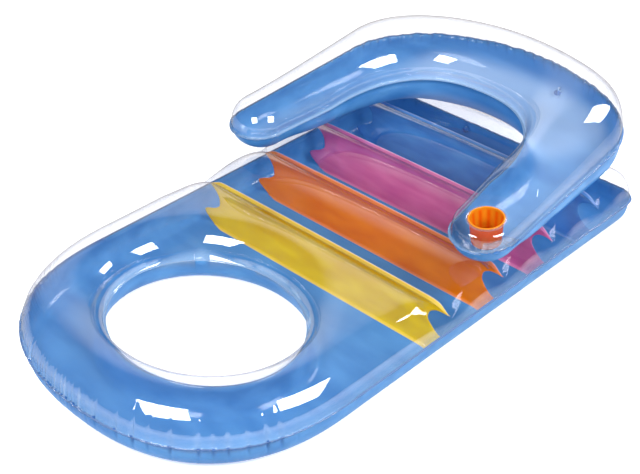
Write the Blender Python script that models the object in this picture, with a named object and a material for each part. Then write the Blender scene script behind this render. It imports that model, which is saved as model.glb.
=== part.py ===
"""Inflatable pool mattress with a foot ring, coloured webs and a raised horseshoe for head and arms.

The base and the horseshoe are two PVC films each, a clear one over a blue one, welded together
along flat edges. Upright webs inside the base hold its films together, as in an I-beam. A moulded
cup well stands in one arm, tabs under both arm tips carry the horseshoe, and each air space has
a push-in valve.

Metres. The origin lies on the surface that the mattress rests on, below the middle of its box.
+Y points to the head, +X to the arm with the cup, +Z up.
"""

import math

import bmesh
import bpy
import numpy as np
from mathutils import Matrix, Vector
from mathutils.bvhtree import BVHTree

FILM = 0.0003  # thickness of the PVC film
GAP = 0.0003  # clearance between pieces that touch
WELD = 0.006  # width of the flat welded edge

# Base
BASE_HALF_WIDTH = 0.431
FOOT_Y = -0.3836  # the straight sides end here
FOOT_DEPTH = 0.4276  # length of the round foot end
FOOT_POWER = 2.375  # 2 gives an ellipse, more a squarer end
HEAD_Y = 0.7173
HEAD_CORNER = 0.060
SEAM_Z = 0.069  # height of the base's welded edge
HOLE_Y = -0.4227
HOLE_HALF_WIDTH = 0.2465
HOLE_HALF_LENGTH = 0.212
BASE_TUBE = 0.0855  # plan distance from a weld to the tube's crown
RING_RISE = 0.079  # crown of the foot ring above the seam
BOTTOM_FALL = 0.078  # depth below the seam before the ground flattens it
TOP_POWER = 2.0  # a clear film's section: 2 gives an ellipse
BOTTOM_POWER = 2.75  # a blue film's section: more than 2 is fuller near the welds

# Webs of the base
WEB_Y = (-0.0417, 0.1563, 0.3543, 0.5523)
WEB_COLOURS = ("yellow", "orange", "magenta", "blue")
WEB_RISE = (0.042, 0.052, 0.060, 0.061)  # each web's upper weld above the seam, in the middle
WEB_SIDE_SHARE = 0.92  # of that height near the sides
WEB_PITCH = WEB_Y[1] - WEB_Y[0]
WEB_LEAN = 0.040  # the lower weld lies this much nearer the foot
CHAMBER_RISE = 0.033  # the film between two webs stands this much above their weld lines
SPLIT_Y = WEB_Y[0] - WEB_PITCH / 2  # the ring's surface and the webbed panel meet here
# A web's end is notched between two horns: share of its height, distance from the middle
WEB_END = ((0.0, 0.4185), (0.12, 0.396), (0.35, 0.374), (0.62, 0.372), (0.86, 0.385), (1.0, 0.400))

# Horseshoe, in its own tilted plane: u across, v from the back towards the foot
BACK_Y = 0.8113
BACK_Z = 0.2960
TILT = math.radians(6.0)
BACK_HALF_WIDTH = 0.4295
BACK_CURVE = 0.279
TIP_HALF_WIDTH = 0.4545
TIP_V = 0.6995  # the arms' round ends have their centres here
INNER_V = 0.2415
INNER_HALF_WIDTH = 0.261
INNER_CURVE = 0.304
INNER_TIP_HALF_WIDTH = 0.285
INNER_POWER = 2.35
TIP_RADIUS = (TIP_HALF_WIDTH - INNER_TIP_HALF_WIDTH) / 2
TIP_U = (TIP_HALF_WIDTH + INNER_TIP_HALF_WIDTH) / 2
BACK_RISE = 0.082  # crown above the welded edge at the back, for a tube as wide as the arm tips
BACK_FALL = 0.069
TIP_RISE = 0.074
TIP_FALL = 0.061
TIP_BLEND = (0.30, 0.66)  # the values change from back to tip over these v
WIDER_TUBE_RISE = 0.55  # growth of rise and fall for each metre of extra tube half width
BACK_SAG = 0.022  # the blue film hangs this much deeper behind the head
SAG_ALONG = (0.20, 0.36)  # from the first to the second of these v that extra depth fades
SAG_ACROSS = (0.10, 0.30)  # and likewise over these u
ROUND_TIP = (0.58, 0.68)  # over these v the blue film's section becomes round

# Cup well
CUP_U = TIP_U + 0.005
CUP_RADIUS = 0.0405
CUP_FLOOR_RADIUS = 0.0360
CUP_FLOOR_ROUND = 0.004
CUP_DEPTH = 0.066
CUP_WALL = 0.0012
CUP_FLANGE = 0.0480
CUP_RIM_RISE = 0.040  # rim above the horseshoe's welded edge
CUP_FILM_PULL = (0.090, 0.155)  # the film is level with the rim inside, untouched outside

# Tabs under the arm tips
TAB_HALF_WIDTH = 0.018
TAB_HALF_THICKNESS = 0.0005
TAB_CLEARANCE = 0.0006
TAB_COLUMNS = 19
TAB_START_Z = 0.152  # a height between the base and the arms

# Valves
VALVE_FLANGE_RADIUS = 0.0135
VALVE_FLANGE_THICKNESS = 0.0008
SLEEVE_RADIUS = 0.0062
SLEEVE_WALL = 0.0008
SLEEVE_DEPTH = 0.012
STEM_RADIUS = 0.0058
STEM_BORE = 0.0032
STEM_TOP = 0.013
STEM_BOTTOM = -0.010
PLUG_RADIUS = 0.0062
PLUG_THICKNESS = 0.0016
SPIGOT_LENGTH = 0.0035
SPIGOT_RADII = (0.00270, 0.00205)
STRAP_REACH = 0.0087
STRAP_HALF_WIDTH = 0.002
STRAP_THICKNESS = 0.001
LUG_HEIGHT = 0.0028  # the stem's lug that carries the strap
JOIN_DEPTH = 0.001  # a joined shape reaches this far into its piece
VALVE_CUT = 0.010  # half height of the cutter for the film's hole
FLAP_RADIUS = 0.0045
FLAP_THICKNESS = 0.0006
BASE_VALVE_X = -0.14
BACK_VALVE_STATION = 1

# Resolution of the lines that distances are taken from
OUTLINE_STEPS = 120
CORNER_STEPS = 12
EDGE_STEPS = 200

# Mesh resolution
TUBE_STEPS = 4  # from a weld to the crown
FOOT_STEPS = 22
SIDE_STEPS = 3
MIDDLE_COLUMNS = 8
CHAMBER_ROWS = 6
ARM_STEPS = 14
TIP_STEPS = 6
ROUND_STEPS = 20
CUP_STEPS = 32
SHARP_ANGLE = math.radians(40)


def clear_scene():
    """Empties the scene."""
    for item in list(bpy.data.objects):
        bpy.data.objects.remove(item, do_unlink=True)


def material(name, colour, roughness, alpha=1.0):
    """A plastic film or moulding with one colour."""
    made = bpy.data.materials.new(name)
    made.use_nodes = True
    shader = made.node_tree.nodes["Principled BSDF"]
    shader.inputs["Base Color"].default_value = (*colour, 1.0)
    shader.inputs["Roughness"].default_value = roughness
    shader.inputs["Metallic"].default_value = 0.0
    shader.inputs["Alpha"].default_value = alpha
    return made


def mesh_object(name, mesh_data, finish):
    """Turns a bmesh into a smooth object of that name."""
    mesh = bpy.data.meshes.new(name)
    mesh_data.to_mesh(mesh)
    mesh_data.free()
    mesh.materials.append(finish)
    mesh.shade_smooth()
    made = bpy.data.objects.new(name, mesh)
    bpy.context.scene.collection.objects.link(made)
    return made


def thicken(target, offset):
    """Gives a sheet the film's thickness, outwards with offset 1, to both sides with 0."""
    solid = target.modifiers.new("film", "SOLIDIFY")
    solid.thickness = FILM
    solid.offset = offset
    solid.use_even_offset = True


def cut(target, tool):
    """Takes a tool's volume out of a piece."""
    carve = target.modifiers.new("cut", "BOOLEAN")
    carve.operation = "DIFFERENCE"
    carve.solver = "EXACT"
    carve.object = tool
    hide_tool(tool)


def join(target, tool):
    """Adds a tool's volume to a piece, as one body."""
    weld = target.modifiers.new("join", "BOOLEAN")
    weld.operation = "UNION"
    weld.solver = "EXACT"
    weld.object = tool
    hide_tool(tool)


def hide_tool(tool):
    """Marks a cutter or an added shape as no piece of its own."""
    tool.hide_render = True
    tool.display_type = "WIRE"


def smooth_step(value, low, high):
    """0 below low, 1 above high and a smooth rise between them."""
    t = min(max((value - low) / (high - low), 0.0), 1.0)
    return t * t * (3.0 - 2.0 * t)


def tube_stations():
    """Distances from the piece's edge to a tube's crown, as shares of the weld and of the tube."""
    turns = [math.cos(math.pi / 2 * k / TUBE_STEPS) for k in range(TUBE_STEPS + 1)]
    return [0.0] + [WELD + BASE_TUBE * (1.0 - c) for c in turns]


def head_half_width(y):
    """Half width of the base at y, less in the round corners at the head."""
    into = max(0.0, y - (HEAD_Y - HEAD_CORNER))
    return BASE_HALF_WIDTH - HEAD_CORNER + math.sqrt(max(0.0, HEAD_CORNER**2 - into**2))


def foot_point(turn):
    """The outer edge of the foot at an angle, from one straight side to the other."""
    c, s = math.cos(turn), math.sin(turn)
    across = BASE_HALF_WIDTH * math.copysign(abs(c) ** (2 / FOOT_POWER), c)
    return (across, FOOT_Y - FOOT_DEPTH * abs(s) ** (2 / FOOT_POWER))


def base_outline():
    """The base's outer edge as a closed line of points."""
    points = [foot_point(math.pi * k / OUTLINE_STEPS) for k in range(OUTLINE_STEPS + 1)]
    for side, start in ((-1, math.pi), (1, math.pi / 2)):
        for k in range(CORNER_STEPS + 1):
            turn = start - math.pi / 2 * k / CORNER_STEPS
            centre = side * (BASE_HALF_WIDTH - HEAD_CORNER)
            points.append(
                (centre + HEAD_CORNER * math.cos(turn), HEAD_Y - HEAD_CORNER + HEAD_CORNER * math.sin(turn))
            )
    return np.array(points + points[:1])


def hole_point(turn):
    """The edge of the foot hole at an angle."""
    return (HOLE_HALF_WIDTH * math.cos(turn), HOLE_Y + HOLE_HALF_LENGTH * math.sin(turn))


def line_distance(point, line):
    """Least distance from a point to a line of points."""
    a, b = line[:-1], line[1:]
    run = b - a
    share = ((point - a) * run).sum(1) / np.maximum((run**2).sum(1), 1e-12)
    nearest = a + np.clip(share, 0.0, 1.0)[:, None] * run
    return float(np.sqrt(((point - nearest) ** 2).sum(1)).min())


OUTER_EDGE = base_outline()
HOLE_EDGE = np.array([hole_point(2 * math.pi * k / OUTLINE_STEPS) for k in range(OUTLINE_STEPS + 1)])


def tube_share(x, y, power):
    """0 on a weld of the base and 1 from the tube's crown inwards."""
    point = np.array((x, y))
    edge = min(line_distance(point, OUTER_EDGE), line_distance(point, HOLE_EDGE)) - WELD
    t = min(max(edge / BASE_TUBE, 0.0), 1.0)
    return (1.0 - (1.0 - t) ** power) ** (1.0 / power)


def web_line_rise(x, y):
    """Height of the webs' upper welds above the seam, before the side falls away."""
    across = 1.0 - min(abs(x) / BASE_HALF_WIDTH, 1.0) ** 2
    return float(np.interp(y, WEB_Y, WEB_RISE)) * (WEB_SIDE_SHARE + (1.0 - WEB_SIDE_SHARE) * across)


def chamber_share(y):
    """0 on a web's weld line and 1 in the middle of a chamber, on a quarter circle."""
    nearest = min(abs(y - web) for web in WEB_Y)
    t = min(nearest / (WEB_PITCH / 2), 1.0)
    return math.sqrt(1.0 - (1.0 - t) ** 2)


def top_z(x, y):
    """Height of the clear film of the base."""
    panel = web_line_rise(x, y) + CHAMBER_RISE * chamber_share(y)
    ring = 1.0 - smooth_step(y, SPLIT_Y - BASE_TUBE, SPLIT_Y)
    crown = panel + (RING_RISE - panel) * ring
    return SEAM_Z + GAP / 2 + crown * tube_share(x, y, TOP_POWER)


def bottom_z(x, y):
    """Height of the blue film of the base, flat where it rests on the ground."""
    return max(SEAM_Z - GAP / 2 - BOTTOM_FALL * tube_share(x, y, BOTTOM_POWER), FILM)


def column_x():
    """Places of the panel's columns across the base."""
    stations = tube_stations()
    crown = BASE_HALF_WIDTH - stations[-1]
    side = [BASE_HALF_WIDTH - s for s in stations]
    middle = [crown * (1.0 - 2.0 * k / MIDDLE_COLUMNS) for k in range(1, MIDDLE_COLUMNS)]
    return side + middle + [-x for x in reversed(side)]


def row_y(chamber_rows):
    """Places of the panel's rows from the ring to the head."""
    stations = tube_stations()
    stops = [SPLIT_Y, *WEB_Y, HEAD_Y - stations[-1]]
    rows = [SPLIT_Y]
    for low, high in zip(stops, stops[1:]):
        count = max(1, round(chamber_rows * (high - low) / WEB_PITCH))
        rows += [low + (high - low) * k / count for k in range(1, count + 1)]
    return rows + [HEAD_Y - s for s in reversed(stations[:-1])]


def base_sheet(height, chamber_rows):
    """One film of the base: the webbed panel as a grid, then a band and loops round the hole."""
    mesh = bmesh.new()
    stations = tube_stations()
    last = len(stations) - 1
    columns, rows = column_x(), row_y(chamber_rows)

    def vertex(x, y):
        return mesh.verts.new((x, y, height(x, y)))

    def panel_vertex(x, y):
        return vertex(x * head_half_width(y) / BASE_HALF_WIDTH, y)

    panel = [[panel_vertex(x, y) for x in columns] for y in rows]

    def band_line(outer, crown):
        """Vertices from the outer edge to the crown."""
        line = []
        for s in stations:
            share = s / stations[-1]
            line.append(vertex(*(a + (b - a) * share for a, b in zip(outer, crown))))
        return line

    crown_x = BASE_HALF_WIDTH - stations[-1]
    band = [panel[0][: last + 1]]
    for k in range(1, SIDE_STEPS):
        y = SPLIT_Y + (FOOT_Y - SPLIT_Y) * k / SIDE_STEPS
        band.append(band_line((BASE_HALF_WIDTH, y), (crown_x, y)))
    for k in range(FOOT_STEPS + 1):
        turn = math.pi * k / FOOT_STEPS
        outer = foot_point(turn)
        inner = hole_point(-turn)
        band.append(band_line(outer, ((outer[0] + inner[0]) / 2, (outer[1] + inner[1]) / 2)))
    for k in range(SIDE_STEPS - 1, 0, -1):
        y = SPLIT_Y + (FOOT_Y - SPLIT_Y) * k / SIDE_STEPS
        band.append(band_line((-BASE_HALF_WIDTH, y), (-crown_x, y)))
    band.append(list(reversed(panel[0][-last - 1 :])))

    def loop_line(start):
        """Vertices from the crown line to the hole's edge."""
        x, y = start.co.x, start.co.y
        inner = hole_point(math.atan2((y - HOLE_Y) / HOLE_HALF_LENGTH, x / HOLE_HALF_WIDTH))
        line = [start]
        for s in reversed(stations[:-1]):
            share = 1.0 - s / stations[-1]
            line.append(vertex(x + (inner[0] - x) * share, y + (inner[1] - y) * share))
        return line

    crowns = [line[-1] for line in band] + list(reversed(panel[0][last + 1 : -last - 1]))
    loops = [loop_line(start) for start in crowns]
    add_quads(mesh, panel, closed=False)
    add_quads(mesh, band, closed=False)
    add_quads(mesh, loops, closed=True)
    return mesh


def add_quads(mesh, lines, closed):
    """Faces between neighbouring lines of vertices."""
    pairs = list(zip(lines, lines[1:])) + ([(lines[-1], lines[0])] if closed else [])
    for first, second in pairs:
        for a, b, c, d in zip(first, first[1:], second[1:], second):
            mesh.faces.new((a, b, c, d))


def face_way(mesh, up):
    """Turns all faces of a sheet up or down."""
    bmesh.ops.recalc_face_normals(mesh, faces=mesh.faces)
    mesh.normal_update()
    if (sum(face.normal.z * face.calc_area() for face in mesh.faces) > 0) != up:
        bmesh.ops.reverse_faces(mesh, faces=mesh.faces)


def base_films(clear, blue):
    """The two films of the base."""
    top = base_sheet(top_z, CHAMBER_ROWS)
    face_way(top, up=True)
    bottom = base_sheet(bottom_z, 2)
    face_way(bottom, up=False)
    films = mesh_object("base_top_film", top, clear), mesh_object("base_bottom_film", bottom, blue)
    for film in films:
        thicken(film, offset=1.0)
    return films


def film_height(height, x, y):
    """Height of a film's facets at x, on the straight lines between its columns."""
    columns = sorted(column_x())
    return float(np.interp(x, columns, [height(place, y) for place in columns]))


def web_columns(level):
    """Places of a web's points across the base at a share of its height."""
    end = float(np.interp(level, *zip(*WEB_END)))
    film = sorted(abs(x) for x in column_x() if x > 0.0 and abs(x) < BASE_HALF_WIDTH - WELD)
    crown = BASE_HALF_WIDTH - tube_stations()[-1]
    side = [x for x in film if crown < x < end][:2] if level in (0.0, 1.0) else []
    while len(side) < 2:
        last = side[-1] if side else crown
        side.append(last + (end - last) / (3 - len(side)))
    side.append(end)
    middle = [crown * (1.0 - 2.0 * k / MIDDLE_COLUMNS) for k in range(MIDDLE_COLUMNS + 1)]
    return side[::-1] + middle + [-x for x in side]


def web(name, y, finish):
    """One upright web with a notch between two horns at each end."""
    mesh = bmesh.new()
    lines = []
    for level, _ in WEB_END:
        line = []
        for x in web_columns(level):
            low = film_height(bottom_z, x, y - WEB_LEAN) + GAP
            high = film_height(top_z, x, y) - GAP
            line.append(mesh.verts.new((x, y - WEB_LEAN * (1.0 - level), low + (high - low) * level)))
        lines.append(line)
    add_quads(mesh, lines, closed=False)
    bmesh.ops.recalc_face_normals(mesh, faces=mesh.faces)
    made = mesh_object(name, mesh, finish)
    thicken(made, offset=0.0)
    return made


def tilted(u, v, height):
    """A point of the horseshoe: its plane falls towards the arm tips."""
    return Vector(
        (
            u,
            BACK_Y - v * math.cos(TILT) - height * math.sin(TILT),
            BACK_Z - v * math.sin(TILT) + height * math.cos(TILT),
        )
    )


def half_edge(half_width, first_v, curve, power, tip_half_width):
    """One edge of the horseshoe from the back's middle to the arm's end, evenly spaced."""
    dense = []
    for k in range(EDGE_STEPS):
        turn = math.pi / 2 * k / (EDGE_STEPS - 1)
        across = half_width * math.sin(turn) ** (2 / power)
        dense.append((across, first_v + curve * (1.0 - math.cos(turn) ** (2 / power))))
    dense.append((tip_half_width, TIP_V))
    dense = np.array(dense)
    length = np.concatenate(([0.0], np.cumsum(np.hypot(*np.diff(dense, axis=0).T))))
    even = np.linspace(0.0, length[-1], ARM_STEPS + 1)
    across, along = (np.interp(even, length, values) for values in dense.T)
    return [(float(u), float(v)) for u, v in zip(across, along)]


def horseshoe_outline():
    """Edge points once round the horseshoe, each with the crown point that it faces."""
    outer = half_edge(BACK_HALF_WIDTH, 0.0, BACK_CURVE, 2.0, TIP_HALF_WIDTH)
    inner = half_edge(INNER_HALF_WIDTH, INNER_V, INNER_CURVE, INNER_POWER, INNER_TIP_HALF_WIDTH)
    crown = [((a[0] + b[0]) / 2, (a[1] + b[1]) / 2) for a, b in zip(outer, inner)]
    tip = []
    for k in range(1, TIP_STEPS):
        turn = math.pi * k / TIP_STEPS
        tip.append(((TIP_U + TIP_RADIUS * math.cos(turn), TIP_V + TIP_RADIUS * math.sin(turn)), crown[-1]))
    right = list(zip(outer, crown)) + tip + list(reversed(list(zip(inner, crown))))
    left = [((-edge[0], edge[1]), (-mid[0], mid[1])) for edge, mid in reversed(right)]
    return right + left[1:-1]


def section_power(v, way):
    """Power of the horseshoe's section where its edge lies at v."""
    if way > 0:
        return TOP_POWER
    return BOTTOM_POWER + (2.0 - BOTTOM_POWER) * smooth_step(v, *ROUND_TIP)


def horseshoe_height(u, v, turn, half_width, way):
    """Distance from the horseshoe's plane, for a turn of 0 on the weld and 1 on the crown."""
    back, tip = (BACK_RISE, TIP_RISE) if way > 0 else (BACK_FALL, TIP_FALL)
    crown = back + (tip - back) * smooth_step(v, *TIP_BLEND) + (half_width - TIP_RADIUS) * WIDER_TUBE_RISE
    if way < 0:
        sag = BACK_SAG * (1.0 - smooth_step(v, *SAG_ALONG)) * (1.0 - smooth_step(abs(u), *SAG_ACROSS))
        return (crown + sag) * turn
    height = crown * turn
    near_cup = 1.0 - smooth_step(math.hypot(u - CUP_U, v - TIP_V), *CUP_FILM_PULL)
    return height + (min(height, CUP_RIM_RISE) - height) * near_cup


def horseshoe_sheet(way):
    """One film of the horseshoe as lines from its edge to its crown. Way is 1 above, -1 below."""
    lines = []
    for edge, crown in horseshoe_outline():
        span = math.dist(edge, crown)
        power = 2.0 / section_power(edge[1], way)
        across = Vector((crown[0] - edge[0], crown[1] - edge[1])) / span
        line = [tilted(*edge, way * GAP / 2)]
        for k in range(TUBE_STEPS + 1):
            angle = math.pi / 2 * k / TUBE_STEPS
            reach = WELD + (span - WELD) * (1.0 - max(0.0, math.cos(angle)) ** power)
            u, v = edge[0] + across.x * reach, edge[1] + across.y * reach
            height = horseshoe_height(u, v, math.sin(angle) ** power, span, way)
            line.append(tilted(u, v, way * (height + GAP / 2)))
        lines.append(line)
    return lines


def horseshoe_films(clear, blue):
    """The two films of the horseshoe."""
    made = []
    for name, way, finish in (("backrest_top_film", 1, clear), ("backrest_bottom_film", -1, blue)):
        mesh = bmesh.new()
        lines = [[mesh.verts.new(point) for point in line] for line in horseshoe_sheet(way)]
        add_quads(mesh, lines, closed=True)
        bmesh.ops.remove_doubles(mesh, verts=mesh.verts, dist=FILM / 10)
        face_way(mesh, up=way > 0)
        film = mesh_object(name, mesh, finish)
        thicken(film, offset=1.0)
        made.append(film)
    return made


def turned(name, profile, steps, finish, place):
    """A round piece from a closed profile of radius and height, turned about its local Z."""
    mesh = bmesh.new()
    points = [mesh.verts.new((radius, 0.0, height)) for radius, height in profile]
    edges = [mesh.edges.new((a, b)) for a, b in zip(points, points[1:])]
    if min(radius for radius, _ in profile) > 0.0:
        edges.append(mesh.edges.new((points[-1], points[0])))
    whole = {"axis": (0, 0, 1), "cent": (0, 0, 0), "angle": 2 * math.pi, "steps": steps}
    bmesh.ops.spin(mesh, geom=points + edges, use_merge=True, **whole)
    bmesh.ops.remove_doubles(mesh, verts=mesh.verts, dist=1e-7)
    bmesh.ops.recalc_face_normals(mesh, faces=mesh.faces)
    made = mesh_object(name, mesh, finish)
    made.data.set_sharp_from_angle(angle=SHARP_ANGLE)
    made.matrix_world = place
    return made


def block(name, low, high, finish, place):
    """A box between two local corners."""
    mesh = bmesh.new()
    bmesh.ops.create_cube(mesh, size=1.0)
    low, high = Vector(low), Vector(high)
    for vert in mesh.verts:
        vert.co = Vector((low + high) / 2) + Vector(vert.co[i] * (high - low)[i] for i in range(3))
    made = mesh_object(name, mesh, finish)
    made.data.shade_flat()
    made.matrix_world = place
    return made


def local_frame(origin, normal, along):
    """A frame at origin with +Z along normal and +X as near along as it can be."""
    z = normal.normalized()
    y = z.cross(along).normalized()
    x = y.cross(z)
    return Matrix.Translation(origin) @ Matrix((x, y, z)).transposed().to_4x4()


def cup_frame():
    """The cup's frame: +Z up its axis, the origin at the rim's height over the arm tip's middle."""
    origin = tilted(CUP_U, TIP_V, CUP_RIM_RISE + FILM + GAP)
    normal = tilted(0, 0, 1) - tilted(0, 0, 0)
    return local_frame(origin, normal, Vector((1, 0, 0)))


def cup_well(film, finish):
    """The moulded cup with its welded rim, and the hole for it in the arm's clear film."""
    place = cup_frame()
    floor = -CUP_DEPTH
    round_in = CUP_FLOOR_ROUND + 0.4 * CUP_WALL
    profile = [
        (0.0, floor),
        (CUP_FLOOR_RADIUS - CUP_FLOOR_ROUND, floor),
        (CUP_FLOOR_RADIUS, floor + CUP_FLOOR_ROUND),
        (CUP_RADIUS, 0.0),
        (CUP_FLANGE, 0.0),
        (CUP_FLANGE, CUP_WALL),
        (CUP_RADIUS - CUP_WALL, CUP_WALL),
        (CUP_FLOOR_RADIUS - CUP_WALL, floor + round_in),
        (CUP_FLOOR_RADIUS - round_in, floor + CUP_WALL),
        (0.0, floor + CUP_WALL),
    ]
    turned("cup_well", profile, CUP_STEPS, finish, place)
    radius = CUP_RADIUS + 2 * GAP
    half_height = CUP_DEPTH / 3
    hole = [(0.0, -half_height), (radius, -half_height), (radius, half_height), (0.0, half_height)]
    cut(film, turned("cup_hole", hole, CUP_STEPS, finish, place))


def valve(prefix, film, place, finish):
    """A push-in valve on a film. Its local +Z points out of the air space, from the film's face."""
    base = GAP
    face = base + VALVE_FLANGE_THICKNESS
    outer_sleeve = SLEEVE_RADIUS + SLEEVE_WALL
    flange = [
        (SLEEVE_RADIUS, -SLEEVE_DEPTH),
        (outer_sleeve, -SLEEVE_DEPTH),
        (outer_sleeve, base),
        (VALVE_FLANGE_RADIUS, base),
        (VALVE_FLANGE_RADIUS, face),
        (SLEEVE_RADIUS, face),
    ]
    turned(prefix + "_valve_flange", flange, ROUND_STEPS, finish, place)
    low, high = STEM_BOTTOM, STEM_TOP
    stem = [(STEM_BORE, low), (STEM_RADIUS, low), (STEM_RADIUS, high), (STEM_BORE, high)]
    neck = turned(prefix + "_valve_stem", stem, ROUND_STEPS, finish, place)
    lug = block(
        prefix + "_lug",
        (STEM_RADIUS - JOIN_DEPTH, -STRAP_HALF_WIDTH, STEM_TOP - GAP - LUG_HEIGHT),
        (STRAP_REACH, STRAP_HALF_WIDTH, STEM_TOP - GAP),
        finish,
        place,
    )
    join(neck, lug)
    seat = STEM_TOP + GAP
    plug = [
        (0.0, seat - SPIGOT_LENGTH),
        (SPIGOT_RADII[1], seat - SPIGOT_LENGTH),
        (SPIGOT_RADII[0], seat),
        (PLUG_RADIUS, seat),
        (PLUG_RADIUS, seat + PLUG_THICKNESS),
        (0.0, seat + PLUG_THICKNESS),
    ]
    cap = turned(prefix + "_valve_plug", plug, ROUND_STEPS, finish, place)
    strap = block(
        prefix + "_strap",
        (PLUG_RADIUS - JOIN_DEPTH, -STRAP_HALF_WIDTH, seat + GAP),
        (STRAP_REACH, STRAP_HALF_WIDTH, seat + GAP + STRAP_THICKNESS),
        finish,
        place,
    )
    join(cap, strap)
    under = STEM_BOTTOM - GAP
    flap_low = under - FLAP_THICKNESS
    flap = [(0.0, flap_low), (FLAP_RADIUS, flap_low), (FLAP_RADIUS, under), (0.0, under)]
    turned(prefix + "_valve_flap", flap, ROUND_STEPS, finish, place)
    radius = outer_sleeve + GAP
    hole = [(0.0, -VALVE_CUT), (radius, -VALVE_CUT), (radius, VALVE_CUT), (0.0, VALVE_CUT)]
    cut(film, turned(prefix + "_valve_hole", hole, ROUND_STEPS, finish, place))


def facet_frame(corners, along):
    """A frame on the outer face of the film over a facet with these inner corners."""
    a, b, c, d = corners
    normal = (c - a).cross(d - b).normalized()
    if normal.z > 0:
        normal = -normal
    return local_frame((a + b + c + d) / 4 + normal * FILM, normal, along)


def base_valve_frame():
    """The place of the base's valve, on the blue film below the head end."""
    stations = tube_stations()
    upper, lower = HEAD_Y - stations[1], HEAD_Y - stations[2]
    left, right = BASE_VALVE_X - VALVE_FLANGE_RADIUS, BASE_VALVE_X + VALVE_FLANGE_RADIUS
    places = ((left, upper), (right, upper), (right, lower), (left, lower))
    return facet_frame([Vector((x, y, bottom_z(x, y))) for x, y in places], Vector((1, 0, 0)))


def backrest_valve_frame():
    """The place of the horseshoe's valve, on the blue film behind the head."""
    lines = horseshoe_sheet(-1)
    first, second = lines[BACK_VALVE_STATION], lines[BACK_VALVE_STATION + 1]
    return facet_frame((first[2], second[2], second[3], first[3]), Vector((1, 0, 0)))


def film_tree(film):
    """A film's faces as they are built, for finding where a tab meets them."""
    return BVHTree.FromObject(film, bpy.context.evaluated_depsgraph_get())


def arm_tab(name, side, base_film, arm_film, finish):
    """A tab that stands between the base and an arm tip and bends when the horseshoe is lifted."""
    below, above = film_tree(base_film), film_tree(arm_film)
    centre = tilted(side * TIP_U, TIP_V, 0.0)
    mesh = bmesh.new()
    rings = []
    for k in range(TAB_COLUMNS):
        x = centre.x + TAB_HALF_WIDTH * (2.0 * k / (TAB_COLUMNS - 1) - 1.0)
        ring = []
        for y, up in ((-1, False), (1, False), (1, True), (-1, True)):
            start = Vector((x, centre.y + y * TAB_HALF_THICKNESS, TAB_START_Z))
            tree, way = (above, 1) if up else (below, -1)
            hit = tree.ray_cast(start, Vector((0, 0, way)))[0]
            ring.append(mesh.verts.new((start.x, start.y, hit.z - way * TAB_CLEARANCE)))
        rings.append(ring + ring[:1])
    for first, second in zip(rings, rings[1:]):
        for a, b, c, d in zip(first, first[1:], second[1:], second):
            mesh.faces.new((a, b, c, d))
    for ring in (rings[0], rings[-1]):
        mesh.faces.new(ring[:-1])
    bmesh.ops.recalc_face_normals(mesh, faces=mesh.faces)
    made = mesh_object(name, mesh, finish)
    made.data.shade_flat()
    return made


def main():
    """Builds every piece."""
    clear_scene()
    clear = material("clear_film", (0.86, 0.92, 0.97), 0.05, 0.25)
    blue = material("blue_film", (0.06, 0.26, 0.68), 0.10, 0.85)
    web_finishes = {
        "yellow": material("yellow_film", (0.72, 0.54, 0.02), 0.15, 0.9),
        "orange": material("orange_film", (0.74, 0.17, 0.01), 0.15, 0.9),
        "magenta": material("magenta_film", (0.48, 0.06, 0.27), 0.15, 0.9),
        "blue": material("deep_blue_film", (0.02, 0.12, 0.45), 0.15, 0.9),
    }
    moulding = material("cup_moulding", (0.80, 0.16, 0.01), 0.12, 0.85)
    valve_vinyl = material("valve_vinyl", (0.82, 0.86, 0.90), 0.3, 0.9)

    base_top, base_bottom = base_films(clear, blue)
    for colour, y in zip(WEB_COLOURS, WEB_Y):
        web("web_" + colour, y, web_finishes[colour])
    arm_top, arm_bottom = horseshoe_films(clear, blue)
    cup_well(arm_top, moulding)
    valve("base", base_bottom, base_valve_frame(), valve_vinyl)
    valve("backrest", arm_bottom, backrest_valve_frame(), valve_vinyl)
    bpy.context.view_layer.update()
    arm_tab("arm_tab_left", 1, base_top, arm_bottom, clear)
    arm_tab("arm_tab_right", -1, base_top, arm_bottom, clear)


main()
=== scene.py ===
"""Inflatable pool mattress with a foot ring, coloured webs and a raised horseshoe for head and arms.

Metres. +Y points to the head, +X to the arm with the cup, +Z up, and the mattress rests on Z = 0.
Every film is a thin closed sheet that keeps the seams of the frame's own solids.
"""

import logging
import math
from collections.abc import Callable
from dataclasses import dataclass, field
from enum import Enum

import bmesh
import bpy
import numpy as np
from bmesh.types import BMesh, BMFace
from bpy.types import Material, Node, NodeSocket, NodeTree, Object
from mathutils import Matrix, Vector
from mathutils.bvhtree import BVHTree


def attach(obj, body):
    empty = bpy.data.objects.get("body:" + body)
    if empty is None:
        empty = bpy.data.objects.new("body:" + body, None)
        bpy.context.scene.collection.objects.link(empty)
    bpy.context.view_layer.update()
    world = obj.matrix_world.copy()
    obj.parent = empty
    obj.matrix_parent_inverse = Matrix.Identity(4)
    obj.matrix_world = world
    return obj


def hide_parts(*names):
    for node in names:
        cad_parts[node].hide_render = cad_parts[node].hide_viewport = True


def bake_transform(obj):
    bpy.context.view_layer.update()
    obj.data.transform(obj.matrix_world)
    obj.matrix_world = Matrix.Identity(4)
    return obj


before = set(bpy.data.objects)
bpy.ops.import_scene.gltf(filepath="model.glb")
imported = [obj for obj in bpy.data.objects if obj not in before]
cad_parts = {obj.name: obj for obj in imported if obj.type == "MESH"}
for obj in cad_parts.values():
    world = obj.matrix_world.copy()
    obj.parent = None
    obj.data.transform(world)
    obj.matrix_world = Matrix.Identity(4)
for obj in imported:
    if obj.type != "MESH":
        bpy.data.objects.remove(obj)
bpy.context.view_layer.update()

logging.basicConfig(level=logging.INFO, format="%(message)s")
LOG = logging.getLogger("mattress")

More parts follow.
